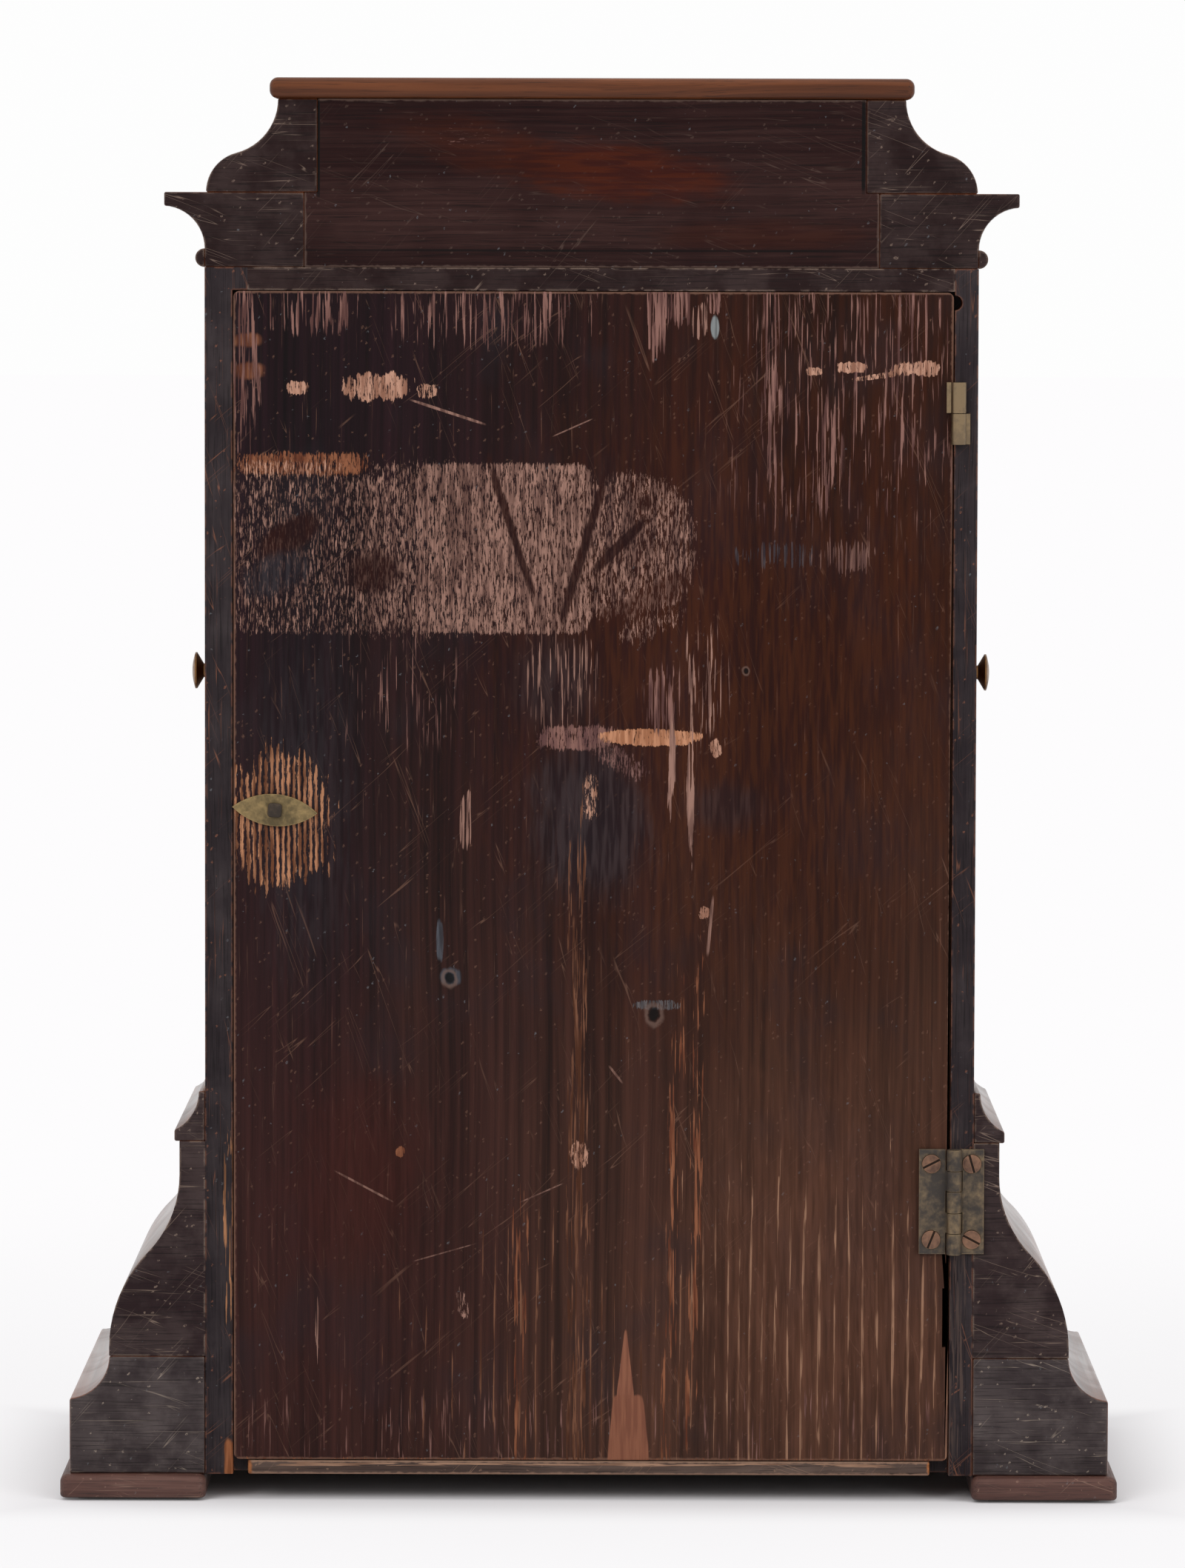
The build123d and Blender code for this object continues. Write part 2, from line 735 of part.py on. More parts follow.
with BuildPart() as rear_hinge_door_leaves:
    block(hinge_pin_x + leaf_edge, hinge_pin_x + butt_door_reach, case_back_y,
          case_back_y + leaf_thickness, butt_low_z, butt_high_z)
    for index in range(1, butt_knuckles, 2):
        low = butt_low_z + index * knuckle_pitch
        knuckle(low + knuckle_gap, low + knuckle_pitch - knuckle_gap, leaf_edge, leaf_thickness,
                hinge_pin_x, hinge_pin_y, case_back_y, knuckle_radius)
    for z in screw_zs:
        screw_hole(door_screw_x, z)
    knuckle(upper_middle_z + knuckle_gap / 2, upper_hinge_high_z, upper_leaf_reach,
            upper_leaf_thickness, hinge_pin_x, hinge_pin_y, case_back_y, knuckle_radius)
    rod_along_z(hinge_pin_x, hinge_pin_y, butt_low_z - cut_overrun,
                upper_hinge_high_z + cut_overrun, pin_radius + fit_gap, mode=Mode.SUBTRACT)
rear_hinge_door_leaves.part.label = "rear_hinge_door_leaves"


def slotted_screw(x, z, slot_angle):
    """A countersunk-looking slotted screw whose head sits in the hinge leaf."""
    head_top_y = screw_sunk_y + screw_head_height
    rod_along_y(x, z, screw_sunk_y, head_top_y, screw_head_radius)
    rod_along_y(x, z, screw_sunk_y - screw_length, screw_sunk_y, screw_shank_radius)
    with BuildSketch(upright_plane(head_top_y, x, z)) as slot:
        Rectangle(2 * screw_head_radius, screw_slot_width, rotation=slot_angle)
    extrude(slot.sketch, amount=screw_slot_depth, mode=Mode.SUBTRACT)


with BuildPart() as rear_hinge_case_screws:
    for z, angle in zip(screw_zs, screw_slot_angles[:2]):
        slotted_screw(case_screw_x, z, angle)
rear_hinge_case_screws.part.label = "rear_hinge_case_screws"

with BuildPart() as rear_hinge_door_screws:
    for z, angle in zip(screw_zs, screw_slot_angles[2:]):
        slotted_screw(door_screw_x, z, angle)
rear_hinge_door_screws.part.label = "rear_hinge_door_screws"


# Turn latch: lens-shaped plate outside, square head, spindle and tongue inside
lens_half = latch_plate_length / 2
lens_rise = latch_plate_width / 2
latch_plate_y = case_back_y + seat_gap
plate_top_y = latch_plate_y + latch_plate_thickness
square_size = sqrt(2) * latch_spindle_radius


def tilted_plane(y):
    """A plane on the latch's axis, seen from the back and turned with the latch."""
    tilt = radians(latch_tilt)
    return Plane(origin=(latch_x, y, latch_z), x_dir=(-cos(tilt), 0, -sin(tilt)), z_dir=(0, 1, 0))


with BuildPart() as latch_plate:
    with BuildSketch(tilted_plane(latch_plate_y)):
        with BuildLine():
            ThreePointArc((-lens_half, 0), (0, lens_rise), (lens_half, 0))
            ThreePointArc((lens_half, 0), (0, -lens_rise), (-lens_half, 0))
        make_face()
        Rectangle(square_size + 2 * fit_gap, square_size + 2 * fit_gap, mode=Mode.SUBTRACT)
    extrude(amount=latch_plate_thickness)
latch_plate.part.label = "latch_plate"

with BuildPart() as latch_spindle:
    with BuildSketch(tilted_plane(latch_plate_y)):
        Rectangle(square_size, square_size)
    extrude(amount=latch_plate_thickness)
    with BuildSketch(tilted_plane(plate_top_y)):
        RectangleRounded(latch_head_size, latch_head_size, latch_head_size / 4)
    extrude(amount=latch_head_height)
    fillet(latch_spindle.faces().sort_by(Axis.Y)[-1].edges(), latch_head_height / 3)
    rod_along_y(latch_x, latch_z, tongue_back_y, latch_plate_y, latch_spindle_radius)
    with BuildSketch(upright_plane(tongue_back_y, latch_x, latch_z)):
        Circle(latch_tongue_width / 2)
        with Locations((0, -latch_tongue_length / 2)):
            Rectangle(latch_tongue_width, latch_tongue_length)
    extrude(amount=latch_tongue_thickness)
latch_spindle.part.label = "latch_spindle"

# Front door
front_door_low_z = upper_base_top_z + joint_gap
front_door_high_z = body_top_z - joint_gap
front_door_back_y = frame_back_y - seat_gap
glass_front_y = case_front_y + glass_set_in
glass_back_y = glass_front_y + glass_thickness


def break_arch(plane, grow):
    """The square opening with an arch above it, grown all round by the given amount."""
    half = opening_half + grow
    low = glass_low_z - grow
    shoulder = front_shoulder_z + grow
    arch = front_arch_half + grow
    crown = shoulder + front_arch_rise
    with BuildSketch(plane) as face:
        with BuildLine():
            Polyline((-arch, shoulder), (-half, shoulder), (-half, low), (half, low),
                     (half, shoulder), (arch, shoulder))
            ThreePointArc((arch, shoulder), (0, crown), (-arch, shoulder))
        make_face()
    return face.sketch


escutcheon_x = -(half_case - front_stile / 2)
keyhole_low = keyhole_slot_length
with BuildPart() as front_door_frame:
    block(-half_case + joint_gap, half_case, case_front_y, front_door_back_y, front_door_low_z,
          front_door_high_z)
    extrude(break_arch(upright_plane(front_door_back_y + cut_overrun), 0),
            amount=front_frame_depth + 2 * cut_overrun, mode=Mode.SUBTRACT)
    extrude(break_arch(upright_plane(front_door_back_y + cut_overrun), glass_cover),
            amount=front_door_back_y + cut_overrun - glass_front_y, mode=Mode.SUBTRACT)
    rod_along_y(escutcheon_x, lock_z, case_front_y - cut_overrun, front_door_back_y + cut_overrun,
                keyhole_radius, mode=Mode.SUBTRACT)
    block(escutcheon_x - keyhole_slot_width / 2, escutcheon_x + keyhole_slot_width / 2,
          case_front_y - cut_overrun, front_door_back_y + cut_overrun, lock_z - keyhole_low, lock_z,
          mode=Mode.SUBTRACT)
front_door_frame.part.label = "front_door_frame"

with BuildPart() as front_door_glass:
    extrude(break_arch(upright_plane(glass_back_y), glass_cover - seat_gap), amount=glass_thickness)
front_door_glass.part.label = "front_door_glass"

with BuildPart() as front_door_bezel:
    extrude(break_arch(upright_plane(glass_back_y + bezel_depth), glass_cover - seat_gap),
            amount=bezel_depth)
    extrude(break_arch(upright_plane(glass_back_y + bezel_depth + cut_overrun),
                       glass_cover - seat_gap - bezel_width),
            amount=bezel_depth + 2 * cut_overrun, mode=Mode.SUBTRACT)
front_door_bezel.part.label = "front_door_bezel"

with BuildPart() as key_escutcheon:
    with BuildSketch(upright_plane(case_front_y, escutcheon_x, lock_z)):
        with BuildLine():
            ThreePointArc((0, -escutcheon_half_length), (escutcheon_half_width, 0),
                          (0, escutcheon_half_length))
            ThreePointArc((0, escutcheon_half_length), (-escutcheon_half_width, 0),
                          (0, -escutcheon_half_length))
        make_face()
        Circle(keyhole_radius, mode=Mode.SUBTRACT)
        with Locations((0, -keyhole_low / 2)):
            Rectangle(keyhole_slot_width, keyhole_low, mode=Mode.SUBTRACT)
    extrude(amount=escutcheon_thickness)
key_escutcheon.part.label = "key_escutcheon"

lock_outer_x = -(side_inner_x - lock_side_gap)
lock_inner_x = lock_outer_x + lock_case_width
with BuildPart() as front_door_lock:
    block(lock_outer_x, lock_inner_x, front_door_back_y, front_door_back_y + lock_case_depth,
          lock_z - lock_case_height / 2, lock_z + lock_case_height / 2)
    block(lock_outer_x - cut_overrun, lock_inner_x - lock_wall,
          bolt_y - bolt_thickness / 2 - fit_gap, bolt_y + bolt_thickness / 2 + fit_gap,
          lock_z - bolt_height / 2 - fit_gap, lock_z + bolt_height / 2 + fit_gap,
          mode=Mode.SUBTRACT)
front_door_lock.part.label = "front_door_lock"

with BuildPart() as lock_bolt:
    block(lock_outer_x, lock_outer_x + bolt_length, bolt_y - bolt_thickness / 2,
          bolt_y + bolt_thickness / 2, lock_z - bolt_height / 2, lock_z + bolt_height / 2)
lock_bolt.part.label = "lock_bolt"

# Front door hinges on the outside of the case
front_pin_x = half_case + front_knuckle_radius + seat_gap / 3
front_hinge_lows = (front_door_low_z + front_hinge_inset,
                    front_door_high_z - front_hinge_inset - front_hinge_height)
front_knuckle_pitch = front_hinge_height / front_knuckles
front_leaf_edge = front_knuckle_radius + seat_gap


def front_knuckle(z_low, z_high, direction):
    """One knuckle of a front door hinge with its tongue towards the leaf."""
    rod_along_z(front_pin_x, frame_back_y, z_low, z_high, front_knuckle_radius)
    reach = direction * front_leaf_edge
    block(half_case, half_case + front_leaf_thickness, min(frame_back_y, frame_back_y + reach),
          max(frame_back_y, frame_back_y + reach), z_low, z_high)


with BuildPart() as front_hinge_case_leaves:
    for low in front_hinge_lows:
        high = low + front_hinge_height
        block(half_case, half_case + front_leaf_thickness, frame_back_y + front_leaf_edge,
              frame_back_y + front_leaf_reach, low, high)
        front_knuckle(low, low + front_knuckle_pitch, 1)
        front_knuckle(high - front_knuckle_pitch, high, 1)
        rod_along_z(front_pin_x, frame_back_y, low, high, front_pin_radius)
front_hinge_case_leaves.part.label = "front_hinge_case_leaves"

with BuildPart() as front_hinge_door_leaves:
    for low in front_hinge_lows:
        high = low + front_hinge_height
        block(half_case, half_case + front_leaf_thickness, frame_back_y - front_leaf_reach,
              frame_back_y - front_leaf_edge, low, high)
        front_knuckle(low + front_knuckle_pitch + knuckle_gap,
                      high - front_knuckle_pitch - knuckle_gap, -1)
        rod_along_z(front_pin_x, frame_back_y, low - cut_overrun, high + cut_overrun,
                    front_pin_radius + fit_gap, mode=Mode.SUBTRACT)
front_hinge_door_leaves.part.label = "front_hinge_door_leaves"


def side_window(plane, grow):
    """The round-headed window of a side door, grown by the given amount."""
    low_y = side_door_front_y + side_stile - grow
    high_y = side_door_back_y - side_stile + grow
    low_z = side_glass_low_z - grow
    shoulder_z = side_glass_high_z - side_arch_rise + grow
    with BuildSketch(plane) as face:
        with BuildLine():
            Polyline((low_y, shoulder_z), (low_y, low_z), (high_y, low_z), (high_y, shoulder_z))
            ThreePointArc((high_y, shoulder_z),
                          ((low_y + high_y) / 2, shoulder_z + side_arch_rise), (low_y, shoulder_z))
        make_face()
    return face.sketch


side_glass_x = half_case - side_door_thickness / 2
side_knob_y = side_door_back_y - side_stile / 2


def side_door_frame_solid(side):
    """A glazed side door's frame with its round hinge edge and two pivot pins."""
    inner_x = half_case - side_door_thickness
    block(side * inner_x, side * half_case, side_pin_y, side_door_back_y, side_door_low_z,
          side_door_high_z)
    rod_along_z(side * side_pin_x, side_pin_y, side_door_low_z, side_door_high_z,
                side_door_thickness / 2)
    extrude(side_window(Plane.YZ.offset(side * (inner_x - cut_overrun)), 0),
            amount=side * (side_door_thickness + 2 * cut_overrun), mode=Mode.SUBTRACT)
    extrude(side_window(Plane.YZ.offset(side * (inner_x - cut_overrun)), side_glass_cover),
            amount=side * (side_door_thickness / 2 + cut_overrun), mode=Mode.SUBTRACT)
    rod_along_z(side * side_pin_x, side_pin_y, side_door_low_z - side_pin_length,
                side_door_high_z + side_pin_length, side_pin_radius)
    rod_along_x(side_knob_y, knob_z, side * (inner_x - cut_overrun),
                side * (half_case + cut_overrun), knob_tail_radius + fit_gap, mode=Mode.SUBTRACT)


def side_glass_solid(side):
    """The glass of a side door, seated on the rebate."""
    extrude(side_window(Plane.YZ.offset(side * side_glass_x), side_glass_cover - seat_gap),
            amount=-side * glass_thickness)


def side_knob_solid(side):
    """A turned brass knob: neck, flared disc and a tail through the stile."""
    disc_end = half_case + knob_projection
    disc_start = disc_end - knob_disc_thickness
    edge_x = disc_start + knob_edge
    flare_start = disc_start - knob_flare_length
    tail_x = half_case - knob_tail_length
    outline = Plane(origin=(0, side_knob_y, knob_z), x_dir=(side, 0, 0), z_dir=(0, -side, 0))
    with BuildSketch(outline) as section:
        with BuildLine():
            Polyline((disc_end, 0), (tail_x, 0), (tail_x, knob_tail_radius),
                     (half_case, knob_tail_radius), (half_case, knob_neck_radius),
                     (flare_start, knob_neck_radius), (disc_start, knob_disc_radius),
                     (edge_x, knob_disc_radius))
            TangentArc((disc_end, 0), (edge_x, knob_disc_radius), tangent=(0, 1))
        make_face()
    revolve(section.sketch, axis=Axis((0, side_knob_y, knob_z), (1, 0, 0)))


with BuildPart() as side_door_latch_side:
    side_door_frame_solid(1)
side_door_latch_side.part.label = "side_door_latch_side"

with BuildPart() as side_door_hinge_side:
    side_door_frame_solid(-1)
side_door_hinge_side.part.label = "side_door_hinge_side"

with BuildPart() as side_glass_latch_side:
    side_glass_solid(1)
side_glass_latch_side.part.label = "side_glass_latch_side"

with BuildPart() as side_glass_hinge_side:
    side_glass_solid(-1)
side_glass_hinge_side.part.label = "side_glass_hinge_side"

with BuildPart() as side_knob_latch_side:
    side_knob_solid(1)
side_knob_latch_side.part.label = "side_knob_latch_side"

with BuildPart() as side_knob_hinge_side:
    side_knob_solid(-1)
side_knob_hinge_side.part.label = "side_knob_hinge_side"

# Gear train places, in the plane of the dial
barrel_distance = barrel_module * (barrel_teeth + pinion_leaves) / 2
barrel_z = dial_centre_z - sqrt(barrel_distance ** 2 - winding_x ** 2)
third_distance = centre_module * (centre_teeth + pinion_leaves) / 2
third_x = third_distance * cos(radians(third_angle))
third_z = dial_centre_z + third_distance * sin(radians(third_angle))
escape_distance = third_module * (third_teeth + pinion_leaves) / 2
escape_z = third_z + sqrt(escape_distance ** 2 - third_x ** 2)
pin_wheel_x = -winding_x + barrel_distance * cos(radians(pin_wheel_angle))
pin_wheel_z = barrel_z + barrel_distance * sin(radians(pin_wheel_angle))
minute_arbor_z = dial_centre_z - motion_distance
cannon_module = 2 * motion_distance / (cannon_teeth + minute_teeth)
hour_module = 2 * motion_distance / (hour_teeth + pinion_leaves)


def involute(angle):
    """The involute function of an angle in radians."""
    return tan(angle) - angle


def gear_points(teeth, module, phase):
    """Corner points of a spur gear's teeth, one tooth centred on the phase angle."""
    pitch_radius = teeth * module / 2
    base_radius = pitch_radius * cos(radians(pressure_angle))
    tip_radius = pitch_radius + tooth_height_share * module
    root_radius = pitch_radius - root_depth_share * module
    half_angle = pi / (2 * teeth) - tooth_backlash / (2 * pitch_radius)
    at_pitch = involute(radians(pressure_angle))
    flank_radii = [max(root_radius, base_radius), pitch_radius, tip_radius]
    flank = []
    for radius in flank_radii:
        offset = half_angle + at_pitch - involute(acos(base_radius / radius))
        flank.append((radius, offset))
    flank.insert(0, (root_radius, flank[0][1]))
    if root_radius >= base_radius:
        flank.pop(0)
    points = []
    for tooth in range(teeth):
        middle = phase + 2 * pi * tooth / teeth
        for radius, offset in flank:
            points.append((radius * cos(middle - offset), radius * sin(middle - offset)))
        for radius, offset in reversed(flank):
            points.append((radius * cos(middle + offset), radius * sin(middle + offset)))
    return points


def meshed_phase(teeth, phase, next_teeth, direction):
    """The phase that puts the next gear in mesh, given the direction to its centre."""
    return direction + pi - pi / next_teeth + teeth / next_teeth * (direction - phase)


def pinion(x, z, y_low, y_high, teeth, module, phase):
    """A solid toothed pinion or wheel between two depths."""
    with BuildSketch(upright_plane(y_high, x, z)) as toothed:
        with BuildLine():
            Polyline(*gear_points(teeth, module, phase), close=True)
        make_face()
    extrude(toothed.sketch, amount=y_high - y_low)


def wheel(x, z, y_low, teeth, module, phase, hub_radius, arms=4):
    """A toothed wheel crossed out to four arms round a hub."""
    pitch_radius = teeth * module / 2
    rim_radius = pitch_radius - 2 * root_depth_share * module - wheel_thickness
    with BuildSketch(upright_plane(y_low + wheel_thickness, x, z)) as crossed:
        with BuildLine():
            Polyline(*gear_points(teeth, module, phase), close=True)
        make_face()
        Circle(rim_radius, mode=Mode.SUBTRACT)
        for arm in range(arms // 2):
            Rectangle(2 * (pitch_radius - 2 * module), 2 * wheel_thickness, rotation=360 / arms * arm)
        Circle(hub_radius)
    extrude(crossed.sketch, amount=wheel_thickness)


def arbor(x, z):
    """A steel arbor between the plates, with its two pivots."""
    rod_along_y(x, z, front_plate_back_y + seat_gap, back_plate_y - seat_gap, arbor_radius)
    rod_along_y(x, z, front_plate_y, back_plate_back_y, pivot_radius)


pinion_front_y = front_plate_back_y + barrel_front_gap - wheel_thickness
pinion_back_y = pinion_front_y + barrel_wheel_thickness + 2 * wheel_thickness
barrel_wheel_y = front_plate_back_y + barrel_front_gap
centre_wheel_y = back_plate_y - 3 * wheel_thickness
third_wheel_y = front_plate_back_y + wheel_thickness
pin_wheel_y = third_wheel_y
escape_wheel_y = escape_plane_y
third_direction_rad = radians(third_angle)
going_direction = atan2(dial_centre_z - barrel_z, -winding_x)
escape_direction = atan2(escape_z - third_z, -third_x)


def barrel(x, wheel_y, drum_y, cap_y):
    """A spring barrel with its great wheel, drum, cap, winding arbor and square."""
    pinion(x, barrel_z, wheel_y, wheel_y + barrel_wheel_thickness, barrel_teeth, barrel_module, 0)
    rod_along_y(x, barrel_z, drum_y, drum_y + barrel_drum_length, barrel_drum_radius)
    rod_along_y(x, barrel_z, cap_y, cap_y + barrel_cap_lip, barrel_drum_radius - 2 * barrel_cap_lip)
    rod_along_y(x, barrel_z, front_plate_back_y + seat_gap, back_plate_y - seat_gap,
                barrel_arbor_radius + barrel_cap_lip)
    rod_along_y(x, barrel_z, front_plate_y - barrel_cap_lip, back_plate_back_y, barrel_arbor_radius)
    with BuildSketch(upright_plane(front_plate_y, x, barrel_z)) as square:
        Rectangle(winding_square, winding_square)
    extrude(square.sketch, amount=front_plate_y - dial_front_y + winding_square / 2)


going_drum_y = barrel_wheel_y + barrel_wheel_thickness
strike_wheel_y = barrel_wheel_y + barrel_drum_length
with BuildPart() as going_barrel:
    barrel(winding_x, barrel_wheel_y, going_drum_y, going_drum_y + barrel_drum_length)
going_barrel.part.label = "going_barrel"

with BuildPart() as strike_barrel:
    barrel(-winding_x, strike_wheel_y, barrel_wheel_y, barrel_wheel_y - barrel_cap_lip)
strike_barrel.part.label = "strike_barrel"

# Centre wheel, whose arbor carries the minute hand
centre_pinion_phase = meshed_phase(barrel_teeth, 0, pinion_leaves, going_direction)
hand_end_y = minute_hand_y - 2 * hand_thickness
with BuildPart() as centre_wheel:
    wheel(0, dial_centre_z, centre_wheel_y, centre_teeth, centre_module, 0, 2 * arbor_radius)
    arbor(0, dial_centre_z)
    pinion(0, dial_centre_z, pinion_front_y, pinion_back_y, pinion_leaves, barrel_module,
           centre_pinion_phase)
    rod_along_y(0, dial_centre_z, hand_end_y, front_plate_back_y + cut_overrun, arbor_radius)
centre_wheel.part.label = "centre_wheel"

third_pinion_phase = meshed_phase(centre_teeth, 0, pinion_leaves, third_direction_rad)
with BuildPart() as third_wheel:
    wheel(third_x, third_z, third_wheel_y, third_teeth, third_module, 0, 2 * arbor_radius)
    arbor(third_x, third_z)
    pinion(third_x, third_z, centre_wheel_y - wheel_thickness, centre_wheel_y + 2 * wheel_thickness,
           pinion_leaves, centre_module, third_pinion_phase)
third_wheel.part.label = "third_wheel"

escape_pinion_phase = meshed_phase(third_teeth, 0, pinion_leaves, escape_direction)


def escape_points():
    """Corner points of the pointed, forward-leaning escape teeth."""
    points = []
    pitch = 2 * pi / escape_teeth
    root = escape_radius - escape_tooth_height
    for tooth in range(escape_teeth):
        start = tooth * pitch
        points.append((root * cos(start), root * sin(start)))
        points.append((escape_radius * cos(start + pitch / 4), escape_radius * sin(start + pitch / 4)))
        points.append((escape_radius * cos(start + pitch / 3), escape_radius * sin(start + pitch / 3)))
        points.append((root * cos(start + pitch / 2), root * sin(start + pitch / 2)))
    return points


with BuildPart() as escape_wheel:
    with BuildSketch(upright_plane(escape_wheel_y + wheel_thickness, 0, escape_z)) as escape_face:
        with BuildLine():
            Polyline(*escape_points(), close=True)
        make_face()
        Circle(escape_radius - escape_tooth_height - wheel_thickness, mode=Mode.SUBTRACT)
        for arm in range(2):
            Rectangle(2 * (escape_radius - escape_tooth_height) - wheel_thickness, wheel_thickness,
                      rotation=90 * arm)
        Circle(2 * arbor_radius)
    extrude(amount=wheel_thickness)
    arbor(0, escape_z)
    pinion(0, escape_z, front_plate_back_y + seat_gap, third_wheel_y + 2 * wheel_thickness,
           pinion_leaves, third_module, escape_pinion_phase)
escape_wheel.part.label = "escape_wheel"

# Motion work between the front plate and the dial
cannon_wheel_y = front_plate_y - 2 * wheel_thickness
hour_wheel_y = cannon_wheel_y - 2 * wheel_thickness
with BuildPart() as cannon_wheel:
    pinion(0, dial_centre_z, cannon_wheel_y, cannon_wheel_y + wheel_thickness, cannon_teeth,
           cannon_module, 0)
    rod_along_y(0, dial_centre_z, minute_hand_y, cannon_wheel_y, cannon_pipe_radius)
    rod_along_y(0, dial_centre_z, hand_end_y - cut_overrun, front_plate_y, arbor_radius + fit_gap,
                mode=Mode.SUBTRACT)
cannon_wheel.part.label = "cannon_wheel"

minute_wheel_phase = meshed_phase(cannon_teeth, 0, minute_teeth, -pi / 2)
minute_pinion_y = hour_wheel_y - wheel_thickness / 2
with BuildPart() as minute_wheel:
    pinion(0, minute_arbor_z, cannon_wheel_y, cannon_wheel_y + wheel_thickness, minute_teeth,
           cannon_module, minute_wheel_phase)
    pinion(0, minute_arbor_z, minute_pinion_y, cannon_wheel_y, pinion_leaves, hour_module, 0)
    rod_along_y(0, minute_arbor_z, minute_pinion_y - fit_gap, front_plate_y,
                pivot_radius + fit_gap, mode=Mode.SUBTRACT)
minute_wheel.part.label = "minute_wheel"

hour_wheel_phase = meshed_phase(pinion_leaves, 0, hour_teeth, pi / 2)
with BuildPart() as hour_wheel:
    pinion(0, dial_centre_z, hour_wheel_y, hour_wheel_y + wheel_thickness, hour_teeth, hour_module,
           hour_wheel_phase)
    rod_along_y(0, dial_centre_z, hour_hand_y, hour_wheel_y, hour_pipe_radius)
    rod_along_y(0, dial_centre_z, hour_hand_y - cut_overrun, cannon_wheel_y,
                cannon_pipe_radius + fit_gap, mode=Mode.SUBTRACT)
hour_wheel.part.label = "hour_wheel"


def hand(y_low, length, bore_radius, spade_share, direction):
    """A pierced hand pointing in the given direction, with its boss."""
    along = radians(direction)
    spade = length * spade_share
    plane = Plane(origin=(0, y_low + hand_thickness, dial_centre_z),
                  x_dir=(cos(along), 0, sin(along)), z_dir=(0, -1, 0))
    with BuildSketch(plane) as outline:
        Circle(hand_boss_radius)
        with BuildLine():
            Polyline((0, hand_width / 2), (spade - hand_width, hand_width / 4),
                     (spade, hand_width), (spade + hand_width, hand_width / 4), (length, 0),
                     (spade + hand_width, -hand_width / 4), (spade, -hand_width),
                     (spade - hand_width, -hand_width / 4), (0, -hand_width / 2), close=True)
        make_face()
        Circle(bore_radius, mode=Mode.SUBTRACT)
    extrude(outline.sketch, amount=hand_thickness)


with BuildPart() as hour_hand:
    hand(hour_hand_y, hour_hand_length, hour_pipe_radius + fit_gap, hour_spade_share, hour_angle)
hour_hand.part.label = "hour_hand"

with BuildPart() as minute_hand:
    hand(minute_hand_y, minute_hand_length, cannon_pipe_radius + fit_gap, minute_spade_share,
         minute_angle)
minute_hand.part.label = "minute_hand"

# Strike side: pin wheel driven by the strike barrel
strike_direction = radians(pin_wheel_angle)
pin_pinion_phase = meshed_phase(barrel_teeth, 0, pinion_leaves, strike_direction)
pin_circle_radius = pin_wheel_teeth * pin_wheel_module / 2 - 3 * wheel_thickness
with BuildPart() as pin_wheel:
    wheel(pin_wheel_x, pin_wheel_z, pin_wheel_y, pin_wheel_teeth, pin_wheel_module, 0,
          2 * arbor_radius)
    arbor(pin_wheel_x, pin_wheel_z)
    pinion(pin_wheel_x, pin_wheel_z, strike_wheel_y - wheel_thickness,
           strike_wheel_y + barrel_wheel_thickness + wheel_thickness, pinion_leaves, barrel_module,
           pin_pinion_phase)
    with BuildSketch(upright_plane(pin_wheel_y + wheel_thickness + lifting_pin_length,
                                   pin_wheel_x, pin_wheel_z)) as pins:
        with PolarLocations(pin_circle_radius + wheel_thickness, lifting_pins):
            Circle(lifting_pin_radius)
    extrude(pins.sketch, amount=lifting_pin_length)
pin_wheel.part.label = "pin_wheel"

# Movement plates, pillars and the holes for every pivot
arbor_places = (
    (0, dial_centre_z),
    (third_x, third_z),
    (0, escape_z),
    (pin_wheel_x, pin_wheel_z),
)
pillar_x = plate_half_width - pillar_inset
pillar_places = [
    (side * pillar_x, z)
    for side in (-1, 1)
    for z in (plate_low_z + pillar_inset, plate_high_z - pillar_inset)
]


def plate(y_low):
    """A movement plate with its pivot holes and pillar holes."""
    y_high = y_low + plate_thickness
    block(-plate_half_width, plate_half_width, y_low, y_high, plate_low_z, plate_high_z)
    for x, z in arbor_places:
        rod_along_y(x, z, y_low - cut_overrun, y_high + cut_overrun, pivot_radius + fit_gap,
                    mode=Mode.SUBTRACT)
    for x in (-winding_x, winding_x):
        rod_along_y(x, barrel_z, y_low - cut_overrun, y_high + cut_overrun,
                    barrel_arbor_radius + fit_gap, mode=Mode.SUBTRACT)
    for x, z in pillar_places:
        rod_along_y(x, z, y_low - cut_overrun, y_high + cut_overrun, pillar_tail_radius + fit_gap,
                    mode=Mode.SUBTRACT)
    rod_along_y(hammer_x, hammer_z, y_low - cut_overrun, y_high + cut_overrun,
                pivot_radius + fit_gap, mode=Mode.SUBTRACT)


anchor_clear_radius = arbor_radius + joint_gap
with BuildPart() as movement_plates:
    plate(front_plate_y)
    plate(back_plate_y)
    rod_along_y(0, dial_centre_z, front_plate_y - cut_overrun, front_plate_back_y + cut_overrun,
                arbor_radius + fit_gap, mode=Mode.SUBTRACT)
    rod_along_y(0, anchor_arbor_z, front_plate_y - cut_overrun, front_plate_back_y + cut_overrun,
                pivot_radius + fit_gap, mode=Mode.SUBTRACT)
    rod_along_y(0, minute_arbor_z, minute_pinion_y - wheel_thickness, front_plate_y, pivot_radius)
    for side in (-1, 1):
        for offset in (-dial_foot_z, dial_foot_z):
            rod_along_y(side * dial_foot_x, dial_centre_z + offset, front_plate_y - cut_overrun,
                        front_plate_back_y + cut_overrun, dial_foot_radius / 2 + fit_gap,
                        mode=Mode.SUBTRACT)
    rod_along_y(0, anchor_arbor_z, back_plate_y - cut_overrun, back_plate_back_y + cut_overrun,
                anchor_clear_radius, mode=Mode.SUBTRACT)
movement_plates.part.label = "movement_plates"

